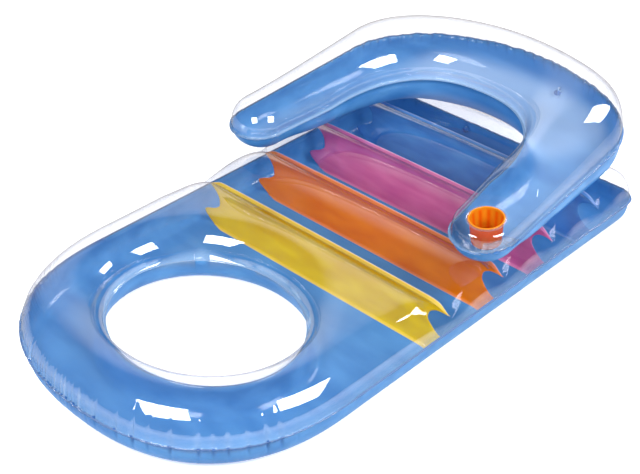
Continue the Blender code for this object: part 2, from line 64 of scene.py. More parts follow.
Value = NodeSocket | float | tuple[float, ...]
Array = np.ndarray
Pair = tuple[Array, Array]
Row = tuple[float, ...]
Span = tuple[float, float]
Place = tuple[float, float, float]
WHITE = (1.0, 1.0, 1.0, 1.0)
FRESNEL_POWER = 5.0  # how steeply a film's gloss grows towards its outline

FILM = 0.0003  # thickness of the PVC film
WELD = 0.006  # width of the flat welded edge
LEAST_Z = FILM * 1.2  # lowest height of a film's inner face
VALVE_HOLE = 0.0073  # radius of the film's hole for a valve
VALVE_FLAP_DEPTH = 0.0106  # from the film's outer face in to the middle of a valve's flap
VALVE_SEAT = (0.015, 0.032)  # a film is flat up to the first radius round a valve and free past the second
VALVE_SINK = -1.4 * FILM  # height of a film's inner face under its valve's flange, along the valve's axis
HOLE_REACH = 0.05  # a round hole opens no film that is further along its axis
WEB_WAVE = ((-0.9, 0.9), (0.05, 0.16), (0.0, 2 * math.pi), (0.2, 0.7))  # slope, length, phase, size
CURVE_STEPS = 360  # steps along a round edge, before it is divided evenly
CORNER_STEPS = 20  # steps round one corner of the head end
TINY = 1e-6  # distances under this count as none
MERGE = 2e-5  # points closer than this are joined where two grids meet


class Body(Enum):
    """The two air spaces, which move against each other."""

    BASE = "base"
    BACKREST = "backrest"


class Side(Enum):
    """The face of an air space that a film makes, with the way that it bulges."""

    TOP = 1
    BOTTOM = -1


# Finishes


def linear(hex_colour: str) -> Row:
    """Turns six hex digits of sRGB to linear red, green and blue, with an alpha of 1."""
    parts = [int(hex_colour[i : i + 2], 16) / 255 for i in (0, 2, 4)]
    red, green, blue = (c / 12.92 if c <= 0.04045 else ((c + 0.055) / 1.055) ** 2.4 for c in parts)
    return (red, green, blue, 1.0)


def add_node(tree: NodeTree, kind: str, links: dict | None = None, **settings) -> Node:
    """Adds one node.

    Args:
        tree: the node tree.
        kind: the node's type, without "ShaderNode".
        links: for each input, by name or number, a value or another node's output.
        settings: properties of the node.

    Returns:
        The node.
    """
    node = tree.nodes.new("ShaderNode" + kind)
    for name, value in settings.items():
        setattr(node, name, value)
    for name, value in (links or {}).items():
        if isinstance(value, NodeSocket):
            tree.links.new(value, node.inputs[name])
        else:
            node.inputs[name].default_value = value
    return node


class Shading:
    """A node tree that is being built, with short calls for the nodes that the finishes share."""

    def __init__(self, name: str) -> None:
        """Starts a material with an empty tree."""
        self.material = bpy.data.materials.new(name)
        self.material.use_nodes = True
        self.tree = self.material.node_tree
        self.tree.nodes.clear()

    def add(self, kind: str, links: dict | None = None, **settings) -> NodeSocket:
        """Adds a node and returns its first output."""
        return add_node(self.tree, kind, links, **settings).outputs[0]

    def mixed(self, share: Value, low: Value, high: Value) -> NodeSocket:
        """Mixes two colours by a share."""
        links = {"Factor": share, "A": low, "B": high}
        return add_node(self.tree, "Mix", links, data_type="RGBA").outputs["Result"]

    def layered(self, share: Value, under: Value, over: Value) -> NodeSocket:
        """Mixes two surfaces by a share."""
        return self.add("MixShader", {0: share, 1: under, 2: over})

    def from_mesh(self, name: str) -> NodeSocket:
        """Reads one of the mesh's attributes."""
        return add_node(self.tree, "Attribute", attribute_name=name).outputs["Fac"]

    def facing(self) -> NodeSocket:
        """0 where the film is seen straight on and 1 at its outline."""
        return add_node(self.tree, "LayerWeight", {"Blend": 0.5}).outputs["Facing"]

    def place(self) -> NodeSocket:
        """Places in metres, in the object's own frame."""
        return add_node(self.tree, "TexCoord").outputs["Object"]

    def noise(self, place: NodeSocket, size_mm: float, detail: float) -> NodeSocket:
        """Clouds of about one size."""
        return self.add("TexNoise", {"Vector": place, "Scale": 1000 / size_mm, "Detail": detail})

    def bump(self, height: NodeSocket, strength: float, distance: float) -> NodeSocket:
        """Bends the surface's normal by a height."""
        return self.add("Bump", {"Strength": strength, "Distance": distance, "Height": height})

    def diffuse(self, colour: Value, **links: Value) -> NodeSocket:
        """A matt surface."""
        return self.add("BsdfDiffuse", {"Color": colour, **links})

    def clear(self, colour: Value) -> NodeSocket:
        """A clear surface with a tint."""
        return self.add("BsdfTransparent", {"Color": colour})

    def gloss(self, roughness: float, normal: NodeSocket) -> NodeSocket:
        """A mirror with a slight blur."""
        return self.add("BsdfGlossy", {"Color": WHITE, "Roughness": roughness, "Normal": normal})

    def gloss_share(self, least: float, most: float) -> NodeSocket:
        """The share of light that a film throws back, least seen straight on and most at its outline."""
        steep = self.add("Math", {0: self.facing(), 1: FRESNEL_POWER}, operation="POWER")
        return self.add("Math", {0: steep, 1: most - least, 2: least}, operation="MULTIPLY_ADD")

    def finished(self, surface: NodeSocket) -> Material:
        """Links the surface to the output and returns the material."""
        out = add_node(self.tree, "OutputMaterial")
        self.tree.links.new(surface, out.inputs["Surface"])
        return self.material


@dataclass(frozen=True)
class ClearFilm:
    """Clear soft PVC film, calendered: water-clear with a hard gloss, faintly grey at its outline."""

    name: str = "clear_pvc_film"
    straight: str = "FCFCFD"
    flat: str = "CFCBCC"
    flat_power: float = 4.0
    weld: str = "B4D2EE"
    weld_haze: float = 0.20
    # Painted sheen on the crease fans by the weld, partly the film's stress whitening.
    fold: str = "E6F1FA"
    fold_haze: float = 0.16
    gloss: Span = (0.065, 0.42)
    roughness: float = 0.05
    dulled: float = 0.15
    buckle_mm: float = 70.0
    bump: Span = (0.05, 0.0008)  # strength and height

    def build(self) -> Material:
        """Makes the material."""
        shading = Shading(self.name)
        grazing = shading.add("Math", {0: shading.facing(), 1: self.flat_power}, operation="POWER")
        tint = shading.mixed(grazing, linear(self.straight), linear(self.flat))
        bump = shading.bump(shading.noise(shading.place(), self.buckle_mm, 2.0), *self.bump)
        left = {"Value": shading.from_mesh("dull"), "To Min": 1.0, "To Max": self.dulled}
        share = {0: shading.gloss_share(*self.gloss), 1: shading.add("MapRange", left)}
        share = shading.add("Math", share, operation="MULTIPLY")
        film = shading.layered(share, shading.clear(tint), shading.gloss(self.roughness, bump))
        # The weld's haze is the film's own; the whiter layer on the creases is painted sheen, partly stress
        # whitening.
        for name, colour, haze in (("weld", self.weld, self.weld_haze), ("fold", self.fold, self.fold_haze)):
            share = shading.add("Math", {0: shading.from_mesh(name), 1: haze}, operation="MULTIPLY")
            film = shading.layered(share, film, shading.diffuse(linear(colour), Roughness=0.3))
        return shading.finished(film)


@dataclass(frozen=True)
class TintedFilm:
    """Coloured see-through PVC film: light passes through it, so it glows where it is lit from behind."""

    name: str
    colour: str
    deep: str
    glow: str
    # Painted shade in the creases and along the seam, partly the doubled film's deeper colour.
    fold: str = "0B479A"
    # A whitish matt layer: painted sheen and painted highlights, and a weld's haze.
    pale: str = "F1EFFA"
    through: float = 0.40
    clearness: float = 0.10
    gloss: Span = (0.03, 0.5)
    roughness: float = 0.10
    streak_mm: float = 60.0
    streak_turn: float = 0.5
    streak_shape: Place = (0.35, 1.0, 1.6)
    streak_spread: Span = (0.3, 0.7)
    bump: Span = (0.12, 0.001)  # strength and height

    def build(self) -> Material:
        """Makes the material."""
        shading = Shading(self.name)
        turned = {"Rotation": (0.0, 0.0, self.streak_turn), "Scale": self.streak_shape}
        turned = shading.add("Mapping", {"Vector": shading.place(), **turned})
        cloud = shading.noise(turned, self.streak_mm, 3.0)
        low, high = self.streak_spread
        spread = shading.add("MapRange", {"Value": cloud, "From Min": low, "From Max": high})
        # Creases and the seam's edge get painted shade: a deeper tone that also darkens the light through the
        # film.
        folded = shading.from_mesh("fold")
        tone = shading.mixed(spread, linear(self.deep), linear(self.colour))
        tone = shading.mixed(folded, tone, linear(self.fold))
        lit = shading.mixed(folded, linear(self.glow), linear(self.fold))
        bump = shading.bump(cloud, *self.bump)
        through = shading.add("BsdfTranslucent", {"Color": lit, "Normal": bump})
        film = shading.layered(self.through, shading.diffuse(tone, Normal=bump), through)
        film = shading.layered(self.clearness, film, shading.clear(linear(self.glow)))
        film = shading.layered(shading.gloss_share(*self.gloss), film, shading.gloss(self.roughness, bump))
        # The whitish layer: painted sheen on the horseshoe's crown, painted highlights on the webs' edges,
        # and haze on their welded strips.
        film = shading.layered(shading.from_mesh("pale"), film, shading.diffuse(linear(self.pale)))
        return shading.finished(film)


@dataclass(frozen=True)
class MouldedVinyl:
    """Moulded soft vinyl: a satin gloss, slightly cloudy, brighter inside by painted light, clear on its
    welded flange.
    """

    name: str
    colour: str
    deep: str
    glow: str
    through: float = 0.3
    # Painted light: the lighter colour of a moulding's lit inside.
    inside: str = "DF931C"
    clearness: float = 0.0
    water_clear: str = "F8FAFD"
    flange: str = "DDEBF7"
    flange_clearness: float = 0.92
    roughness: float = 0.16
    cloud_mm: float = 18.0
    bump: Span = (0.15, 0.0006)  # strength and height
    ior: float = 1.5

    def build(self) -> Material:
        """Makes the material."""
        shading = Shading(self.name)
        cloud = shading.noise(shading.place(), self.cloud_mm, 2.0)
        tone = shading.mixed(cloud, linear(self.deep), linear(self.colour))
        # Painted light on the inside.
        tone = shading.mixed(shading.from_mesh("inside"), tone, linear(self.inside))
        bump = shading.bump(cloud, *self.bump)
        shell = {"Base Color": tone, "Roughness": self.roughness, "IOR": self.ior, "Normal": bump}
        shell = shading.add("BsdfPrincipled", shell)
        glow = shading.add("BsdfTranslucent", {"Color": linear(self.glow)})
        part = shading.layered(self.through, shell, glow)
        clear = shading.clear(linear(self.water_clear))
        part = shading.layered(self.clearness, part, clear)
        weld = shading.layered(self.flange_clearness, shading.diffuse(linear(self.flange)), clear)
        return shading.finished(shading.layered(shading.from_mesh("flange"), part, weld))


@dataclass(frozen=True)
class StudioFloor:
    """White studio paper that is lit from below as well, so that the mattress throws almost no shadow.

    It throws less light back on the mattress than it shows.
    """

    name: str = "studio_paper"
    colour: str = "F4F5F6"
    bounce: str = "BCBDC0"
    glow: float = 0.45

    def build(self) -> Material:
        """Makes the material."""
        shading = Shading(self.name)
        seen = add_node(shading.tree, "LightPath").outputs["Is Camera Ray"]
        shade = shading.mixed(seen, linear(self.bounce), linear(self.colour))
        light = shading.add("Emission", {"Color": WHITE, "Strength": self.glow})
        return shading.finished(shading.add("AddShader", {0: shading.diffuse(shade), 1: light}))


FINISHES = {
    "clear_film": ClearFilm(),
    # The blue film's paler colour is the painted sheen on the horseshoe's crown.
    "blue_film": TintedFilm("blue_pvc_film", "65A8DC", "488BC6", "76B6E7", pale="CFE6FC", clearness=0.06),
    "yellow_film": TintedFilm("yellow_pvc_film", "FFE40A", "E6BE04", "FFE61C", streak_mm=45.0),
    "orange_film": TintedFilm("orange_pvc_film", "FF9A06", "E87202", "FFA818", streak_mm=45.0),
    "magenta_film": TintedFilm("magenta_pvc_film", "F88FC8", "D857A4", "F99BD1", streak_mm=45.0),
    "deep_blue_film": TintedFilm("deep_blue_pvc_film", "6ABAEF", "468BCF", "7CBCF5", streak_mm=45.0),
    "cup_moulding": MouldedVinyl("orange_moulded_vinyl", "E66206", "D45204", "FF8414", through=0.35),
    "valve_vinyl": MouldedVinyl(
        "clear_moulded_vinyl", "A4C9EB", "8FB9E0", "A9CEEE", clearness=0.62, water_clear="CBE1F5"
    ),
}


# Mesh helpers


def smooth_step(value: Array, low: float, high: float) -> Array:
    """0 below low, 1 above high and a smooth rise between them."""
    t = np.clip((value - low) / (high - low), 0.0, 1.0)
    return t * t * (3.0 - 2.0 * t)


def fall(value: Array, low: float, high: float) -> Array:
    """1 below low, 0 above high and a smooth fall between them."""
    return 1.0 - smooth_step(value, low, high)


def soft_least(a: Array, b: float, ease: float) -> Array:
    """The lesser of each value and a limit, rounded where they are less than about ease apart."""
    low = np.minimum(a, b)
    return low - ease * np.log1p(np.exp(-np.abs(a - b) / ease))


def tube_share(t: Array, power: float) -> Array:
    """A tube's height from 0 at its weld to 1 on its crown: an ellipse at a power of 2, squarer above."""
    return (1.0 - (1.0 - np.clip(t, 0.0, 1.0)) ** power) ** (1.0 / power)


def arc_share(t: Array, slack: float) -> Array:
    """A bulge's height from 0 at its weld to 1 in its middle: a quarter circle at a slack of 1."""
    t = np.clip(t, 0.0, 1.0)
    root = math.sqrt(slack * slack - 1.0)
    return (np.sqrt(slack * slack - (1.0 - t) ** 2) - root) / (slack - root)


def nearest_gap(places: Array, lines: Array) -> Array:
    """Distance of each place to the nearest of some lines."""
    return np.abs(places[:, None] - lines).min(1)


def lengths_along(line: Array) -> Array:
    """Length along a line up to each of its points, in the plane of its first two columns."""
    return np.concatenate(([0.0], np.cumsum(np.hypot(*np.diff(line[:, :2], axis=0).T))))


def nearest_step(share: Array, steps: int) -> Array:
    """Number of the step that a share of the way lies at."""
    return np.rint(share * steps).astype(int)


def nearest_on_line(points: Array, line: Array) -> tuple[Array, Array, Array]:
    """Finds the nearest place on a line of points.

    Args:
        points: places, one a row.
        line: the line's points, one a row.

    Returns:
        The distance, the length along the line up to the nearest place, and that place.
    """
    start, run = line[:-1], line[1:] - line[:-1]
    length = np.hypot(*run.T)
    before = lengths_along(line)[:-1]
    distance, along, foot = [], [], []
    for part in np.array_split(points, max(1, len(points) // 3000)):
        offset = part[:, None, :] - start[None]
        share = np.clip((offset * run).sum(2) / np.maximum(length**2, 1e-14), 0.0, 1.0)
        place = start[None] + share[..., None] * run
        gap = np.hypot(*(part[:, None, :] - place).transpose(2, 0, 1))
        best = gap.argmin(1)
        rows = np.arange(len(part))
        distance.append(gap[rows, best])
        along.append(before[best] + share[rows, best] * length[best])
        foot.append(place[rows, best])
    return np.concatenate(distance), np.concatenate(along), np.concatenate(foot)


def even_points(line: Array, count: int) -> Array:
    """A number of points evenly spaced along a line. Only its first two columns set its length."""
    length = lengths_along(line)
    even = np.linspace(0.0, length[-1], count)
    return np.stack([np.interp(even, length, column) for column in line.T], axis=1)


def add_patch(mesh: BMesh, across: int, along: int, place: Callable[[Array, Array], Pair]) -> None:
    """Adds a grid of quads and moves its points into place.

    Args:
        mesh: the mesh to add to.
        across: number of quads in the grid's first direction.
        along: number of quads in its second direction.
        place: a function of both shares, as arrays, that returns x and y arrays.
    """
    made = bmesh.ops.create_grid(mesh, x_segments=across, y_segments=along, size=0.5)
    shares = np.array([vert.co[:2] for vert in made["verts"]]) + 0.5
    x, y = place(shares[:, 0], shares[:, 1])
    for vert, a, b in zip(made["verts"], x, y):
        vert.co = (a, b, 0.0)


def move_points(mesh: BMesh, place: Callable[[Array], Array]) -> None:
    """Moves every point of a mesh, by a function of all points that returns their new places."""
    for vert, co in zip(mesh.verts, place(np.array([vert.co for vert in mesh.verts]))):
        vert.co = co


def face_way(mesh: BMesh, up: bool) -> None:
    """Turns all faces of a sheet up or down."""
    bmesh.ops.recalc_face_normals(mesh, faces=mesh.faces)
    if (sum(face.normal.z * face.calc_area() for face in mesh.faces) > 0) != up:
        bmesh.ops.reverse_faces(mesh, faces=mesh.faces)


def number_faces(mesh: BMesh) -> None:
    """Puts the faces in the order of their points, because a spin leaves them in another order each run."""
    mesh.verts.index_update()

    def number(face: BMFace) -> int:
        """A number that only this face has."""
        corners = sorted(vert.index for vert in face.verts)
        return corners[0] * len(mesh.verts) + corners[-1]

    mesh.faces.sort(key=number)


def add_object(name: str, data: bpy.types.ID) -> Object:
    """Puts a mesh, a light or a camera into the scene."""
    made = bpy.data.objects.new(name, data)
    bpy.context.scene.collection.objects.link(made)
    return made


def write_shares(mesh: BMesh, **shares: Array) -> None:
    """Writes named attributes for the finishes, one share a point."""
    for name, values in shares.items():
        layer = mesh.verts.layers.float.new(name)
        for vert, value in zip(mesh.verts, values):
            vert[layer] = float(value)


def finish_piece(mesh: BMesh, name: str, slot: str, body: str, nodes: tuple[str, ...]) -> Object:
    """Turns a mesh into a piece of the mattress.

    Args:
        mesh: the mesh, which is freed.
        name: the piece's name.
        slot: the record's material slot.
        body: the CAD body that it rides on, or "" for a piece that bends between two.
        nodes: the CAD nodes that it stands for.

    Returns:
        The piece's object.
    """
    data = bpy.data.meshes.new(name)
    mesh.to_mesh(data)
    mesh.free()
    data.shade_smooth()
    data.materials.append(bpy.data.materials[FINISHES[slot].name])
    made = add_object(name, data)
    if body:
        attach(made, body)
    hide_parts(*nodes)
    LOG.info("%s: %d faces", name, len(data.polygons))
    return made


def axis_frame(origin: Vector, z: Vector) -> Matrix:
    """A frame with its +Z along an axis and its +X in the plane of that axis and the mattress's X."""
    y = z.cross(Vector((1, 0, 0))).normalized()
    return Matrix.Translation(origin) @ Matrix((y.cross(z), y, z)).transposed().to_4x4()


def open_round(mesh: BMesh, place: Matrix, radius: float, cuts: int = 0) -> None:
    """Cuts a round hole into a film.

    Args:
        mesh: the film.
        place: the hole's frame, with +Z up its axis.
        radius: the hole's radius.
        cuts: how many times the edges near the hole are divided first.
    """
    back = place.inverted()
    if cuts:
        near = [vert for vert in mesh.verts if (back @ vert.co).length < 3 * radius]
        edges = sorted({edge for vert in near for edge in vert.link_edges}, key=lambda edge: edge.index)
        bmesh.ops.subdivide_edges(mesh, edges=edges, cuts=cuts, use_grid_fill=True)
    local = {vert: back @ vert.co for vert in mesh.verts}
    reach = {vert: math.hypot(co.x, co.y) for vert, co in local.items() if abs(co.z) < HOLE_REACH}
    gone = [face for face in mesh.faces if any(reach.get(vert, 1.0) < radius for vert in face.verts)]
    bmesh.ops.delete(mesh, geom=gone, context="FACES")
    for vert in mesh.verts:
        if vert.is_boundary and reach.get(vert, 1.0) < 2 * radius:
            co = local[vert]
            grow = radius / reach[vert]
            vert.co = place @ Vector((co.x * grow, co.y * grow, co.z))


def seat_valve(mesh: BMesh, side: str, cuts: int = 0) -> None:
    """Lays a film flat under its valve's flange and opens it for the valve.

    Args:
        mesh: the film, as its inner face.
        side: the body that the valve is on.
        cuts: how many times the edges near the hole are divided first.
    """
    flap, flange = (
        np.array([node.matrix_world @ vert.co for vert in node.data.vertices])
        for node in (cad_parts[f"{side}_valve_{piece}"] for piece in ("flap", "flange"))
    )
    middle = (flap.min(0) + flap.max(0)) / 2
    way = np.linalg.svd(flap - flap.mean(0), full_matrices=False)[2][-1]
    z = Vector(way * math.copysign(1.0, float((flange.mean(0) - middle) @ way)))
    place = axis_frame(Vector(middle) + z * VALVE_FLAP_DEPTH, z)
    back = place.inverted()
    for vert in mesh.verts:
        co = back @ vert.co
        share = 1.0 - float(smooth_step(math.hypot(co.x, co.y), *VALVE_SEAT))
        if share > 0.0 and abs(co.z) < VALVE_SEAT[1]:
            vert.co = place @ Vector((co.x, co.y, co.z + (VALVE_SINK - co.z) * share))
    open_round(mesh, place, VALVE_HOLE, cuts)


def thicken(piece: Object, thickness: float, offset: float) -> None:
    """Gives a sheet its thickness, outwards with an offset of 1 and to both sides with 0."""
    wall = piece.modifiers.new("wall", "SOLIDIFY")
    wall.thickness = thickness
    wall.offset = offset
    wall.use_even_offset = False


def finish_film(mesh: BMesh, body: Body, way: Side) -> Object:
    """Turns the inner face of an air space's film into a piece with its thickness."""
    top = way is Side.TOP
    face_way(mesh, up=top)
    kind, node = ("clear_film", "top_film") if top else ("blue_film", "bottom_film")
    made = finish_piece(mesh, f"{body.value}_{kind}", kind, body.value, (f"{body.value}_{node}",))
    thicken(made, FILM, 1.0)
    return made


@dataclass
class Gathers:
    """Creases that a film throws where it is gathered along its welded edge."""

    length: float
    spacing: Span
    width: float
    seed: int
    starts: Array = field(init=False)
    depth: Array = field(init=False)
    lift: Array = field(init=False)

    def __post_init__(self) -> None:
        """Places the creases."""
        random = np.random.default_rng(self.seed)
        count = max(2, round(2 * self.length / sum(self.spacing)))
        steps = random.uniform(*self.spacing, count)
        self.starts = np.concatenate(([0.0], np.cumsum(steps))) * self.length / steps.sum()
        self.depth = random.uniform(0.35, 1.0, count + 1)
        self.depth[-1] = self.depth[0]
        self.lift = random.uniform(0.4, 1.0, count) * random.choice((-1.0, 1.0), count)

    def at(self, along: Array, wide: float = 1.0) -> Pair:
        """The creases at lengths along the edge.

        Args:
            along: lengths along the edge.
            wide: how many times as wide as they are the creases are taken.

        Returns:
            The crease's depth, from 0 to 1, and the rise of the film between two creases, from -1 to 1.
        """
        width = self.width * wide
        bay = np.clip(np.searchsorted(self.starts, along, side="right") - 1, 0, len(self.lift) - 1)
        span = self.starts[bay + 1] - self.starts[bay]
        into = np.clip((along - self.starts[bay]) / span, 0.0, 1.0)
        near = self.depth[bay] * np.exp(-((into * span / width) ** 2))
        far = self.depth[bay + 1] * np.exp(-(((1.0 - into) * span / width) ** 2))
        return np.maximum(near, far), self.lift[bay] * np.sin(math.pi * into)


# Base


@dataclass
class Reach:
    """How points of the base lie to its two welded edges."""

    outer: Array
    along: Array
    foot: Array
    hole: Array


@dataclass
class Base:
    """The flat air space: a foot ring with a hole and a panel of chambers between coloured webs."""

    half_width: float = 0.431
    foot_y: float = -0.3836
    foot_depth: float = 0.4276
    foot_power: float = 2.375
    head_y: float = 0.7173
    head_corner: float = 0.060
    seam_z: float = 0.069
    hole_y: float = -0.4227
    hole_half_width: float = 0.2465
    hole_half_length: float = 0.212
    tube: float = 0.0855
    ring_rise: float = 0.079
    bottom_fall: float = 0.078
    top_power: float = 2.05
    bottom_power: float = 2.75
    web_y: Row = (-0.0417, 0.1563, 0.3543, 0.5523)
    web_colours: tuple[str, ...] = ("yellow", "orange", "magenta", "blue")
    web_rise: Row = (0.042, 0.052, 0.060, 0.061)
    web_side_share: float = 0.92
    web_lean: float = 0.040
    strip: float = 0.0075
    fold_back: float = 0.009
    fold_drop: float = 0.004
    chamber_rise: float = 0.037
    chamber_slack: float = 1.22
    bottom_valley: float = 0.012
    strip_taper: Span = (0.90, 1.0)  # shares of the half width
    strip_overhang: float = 0.006
    web_steps: int = 150
    web_waves: int = 7
    web_wave_height: float = 0.0009
    # Half widths of a web at its +X and its -X end, read off the photo, from its lower to its upper edge.
    near_end: Row = (0.4235, 0.4235, 0.4235, 0.4225, 0.412, 0.380, 0.363, 0.359, 0.361, 0.375, 0.408)
    far_end: Row = (0.338, 0.364, 0.383, 0.392, 0.352, 0.338, 0.342, 0.348, 0.360, 0.375, 0.394)
    # Places across at which a chamber's end bulges, and at which the bottom film's valleys run out.
    chamber_ends: Span = (0.405, 0.426)
    valley_ends: Span = (0.36, 0.42)
    valley_share: float = 0.45
    valley_slack: float = 1.15
    end_puff: float = 0.6
    ring_ease: float = 0.012
    tube_ease: float = 0.002
    ground_ease: float = 0.0012
    # Places along at which the foot's and the head's creases begin, and across, where they change.
    foot_creases: Span = (0.50, 0.62)
    head_creases: Span = (0.60, 0.70)
    long_creases: Span = (-0.14, 0.02)
    # Of the wide and the fine creases in turn: how far they pull the film in and how far they lift it.
    crease_depth: Span = (0.0062, 0.0026)
    crease_lift: Span = (0.0018, 0.0034)
    # How far round the tube they reach: the wide ones above and below, and the fine ones.
    top_fade: float = 0.040
    bottom_fade: float = 0.032
    fine_fade: float = 0.036
    crease_stop: Span = (0.020, 0.042)
    # Distances over which the painted crease colour fades: painted sheen on the clear film between wide
    # creases and on fine ones, and painted shade on the blue film below, partly the doubled film's deeper
    # colour.
    fan_fade: Span = (0.012, 0.040)
    ray_fade: Span = (0.020, 0.050)
    fold_fade: Span = (0.008, 0.034)
    # Distances from the outer edge over which three looks of the weld fade: painted shade along the seam,
    # haze, and no gloss.
    dark_edge: Span = (0.0035, 0.0065)
    hazy_edge: Span = (0.004, 0.012)
    dull_edge: Span = (0.007, 0.010)
    # Where a web pulls at a chamber's end: places across, and distances along from the valley.
    pulled_across: Span = (0.355, 0.390)
    pulled_along: Span = (0.045, 0.085)
    tube_steps: int = 20
    middle_steps: int = 48
    ring_steps: int = 980
    lip_steps: int = 15
    row_steps: int = 12
    outer: Array = field(init=False)
    hole: Array = field(init=False)
    coarse: Gathers = field(init=False)
    fine: Gathers = field(init=False)

    def __post_init__(self) -> None:
        """Works out the two welded edges and the creases along them."""
        points = [self.foot_point(turn) for turn in np.linspace(0.0, math.pi, CURVE_STEPS + 1)]
        for side, start in ((-1, math.pi), (1, math.pi / 2)):
            centre = side * (self.half_width - self.head_corner)
            for turn in np.linspace(start, start - math.pi / 2, CORNER_STEPS + 1):
                x = centre + self.head_corner * math.cos(turn)
                points.append((x, self.head_y - self.head_corner + self.head_corner * math.sin(turn)))
        self.outer = np.array(points + points[:1])
        turns = np.linspace(0.0, 2 * math.pi, CURVE_STEPS + 1)
        self.hole = np.array([self.hole_point(turn) for turn in turns])
        length = float(lengths_along(self.outer)[-1])
        self.coarse = Gathers(length, (0.030, 0.062), 0.0036, seed=5)
        self.fine = Gathers(length, (0.010, 0.016), 0.0034, seed=11)

    @property
    def pitch(self) -> float:
        """Distance between two webs."""
        return self.web_y[1] - self.web_y[0]

    @property
    def valleys(self) -> Array:
        """Y of the lowest lines of the top film, where the webs pull on it."""
        return np.array(self.web_y) - self.fold_back

    @property
    def split_y(self) -> float:
        """Y at which the ring's surface and the panel meet."""
        return self.web_y[0] - self.pitch / 2

    def foot_point(self, turn: float) -> Span:
        """The outer edge of the foot at an angle, from one straight side to the other."""
        c, s = math.cos(turn), max(0.0, math.sin(turn))
        across = self.half_width * math.copysign(abs(c) ** (2 / self.foot_power), c)
        return (across, self.foot_y - self.foot_depth * s ** (2 / self.foot_power))

    def hole_point(self, turn: float) -> Span:
        """The edge of the foot hole at an angle."""
        return (self.hole_half_width * math.cos(turn), self.hole_y + self.hole_half_length * math.sin(turn))

    def edge_stations(self, steps: int) -> Array:
        """Distances from the outer edge to a tube's crown, two of the steps across the weld."""
        turns = np.linspace(0.0, math.pi / 2, steps - 1)
        return np.concatenate(([0.0, WELD / 2], WELD + self.tube * (1.0 - np.cos(turns))))

    def sheet(self) -> BMesh:
        """Makes one film's grid, flat at Z = 0: the panel, a band round the foot, and loops to the hole."""
        mesh = bmesh.new()
        stations = self.edge_stations(self.tube_steps)
        steps = len(stations) - 1
        share = stations / stations[-1]
        crown = self.half_width - stations[-1]
        side = self.half_width - stations
        middle = np.linspace(crown, -crown, self.middle_steps + 1)[1:-1]
        columns = np.concatenate((side, middle, -side[::-1]))
        crests = (self.valleys[:-1] + self.valleys[1:]) / 2
        stops = sorted((self.split_y, *self.valleys, *crests, self.head_y - stations[-1]))
        turns = np.linspace(0.0, 1.0, self.row_steps + 1)[1:]
        rows = [np.array([self.split_y])]
        for low, high in zip(stops, stops[1:]):
            sine = np.sin(math.pi / 2 * turns) if high in self.valleys else 1.0 - np.cos(math.pi / 2 * turns)
            rows.append(low + (high - low) * (0.55 * sine + 0.45 * turns))
        rows = np.concatenate((*rows, (self.head_y - stations)[::-1][1:]))

        def panel(s: Array, t: Array) -> Pair:
            """Places of the panel's points."""
            x = columns[nearest_step(s, len(columns) - 1)]
            y = rows[nearest_step(t, len(rows) - 1)]
            into = np.maximum(0.0, y - (self.head_y - self.head_corner))
            corner = np.sqrt(np.maximum(0.0, self.head_corner**2 - into**2))
            width = self.half_width - self.head_corner + corner
            return x * width / self.half_width, y

        add_patch(mesh, len(columns) - 1, len(rows) - 1, panel)

        line = []
        for y in np.linspace(self.split_y, self.foot_y, 2 * CORNER_STEPS + 1)[:-1]:
            back = 0.5 * (self.foot_y - self.hole_y) * (y - self.split_y) / (self.foot_y - self.split_y)
            line.append((self.half_width, y, crown, y - back))
        other_side = [(-a, b, -c, d) for a, b, c, d in reversed(line)]
        for turn in np.linspace(0.0, math.pi, CURVE_STEPS + 1):
            out, inner = self.foot_point(turn), self.hole_point(-turn)
            line.append((*out, (out[0] + inner[0]) / 2, (out[1] + inner[1]) / 2))
        line = even_points(np.array(line + other_side), self.ring_steps + 1)

        def band(s: Array, t: Array) -> Pair:
            """Places of the band's points, from the outer edge to the crown."""
            at = line[nearest_step(s, self.ring_steps)]
            reach = share[nearest_step(t, steps)]
            return at[:, 0] + (at[:, 2] - at[:, 0]) * reach, at[:, 1] + (at[:, 3] - at[:, 1]) * reach

        add_patch(mesh, self.ring_steps, steps, band)
        lip = self.edge_stations(self.lip_steps)
        reach_in = 1.0 - (lip / lip[-1])[::-1]

        def to_hole(x: Array, y: Array, t: Array) -> Pair:
            """Places between a point of the crown and the hole's edge."""
            turn = np.arctan2((y - self.hole_y) / self.hole_half_length, x / self.hole_half_width)
            reach = reach_in[nearest_step(t, len(lip) - 1)]
            inner_x = self.hole_half_width * np.cos(turn)
            inner_y = self.hole_y + self.hole_half_length * np.sin(turn)
            return x + (inner_x - x) * reach, y + (inner_y - y) * reach

        def near_loops(s: Array, t: Array) -> Pair:
            """Places of the points between the band and the hole."""
            at = line[nearest_step(s, self.ring_steps)]
            return to_hole(at[:, 2], at[:, 3], t)

        def far_loops(s: Array, t: Array) -> Pair:
            """Places of the points between the panel's first row and the hole."""
            x = crown * (1.0 - 2.0 * s)
            return to_hole(x, np.full_like(x, self.split_y), t)

        add_patch(mesh, self.ring_steps, len(lip) - 1, near_loops)
        add_patch(mesh, self.middle_steps, len(lip) - 1, far_loops)
        bmesh.ops.remove_doubles(mesh, verts=mesh.verts, dist=MERGE)
        return mesh

    def reach(self, x: Array, y: Array) -> Reach:
        """Measures points against the two welded edges."""
        points = np.stack([x, y], axis=1)
        return Reach(*nearest_on_line(points, self.outer), nearest_on_line(points, self.hole)[0])

    def tube_way(self, reach: Reach) -> Array:
        """Share of the way from the nearest weld to the tube's crown."""
        outer = np.maximum(reach.outer - WELD, 0.0)
        inner = np.maximum(reach.hole - WELD, 0.0)
        radius = soft_least((outer + inner) / 2, self.tube + self.tube_ease, self.tube_ease)
        return np.minimum(outer, inner) / radius

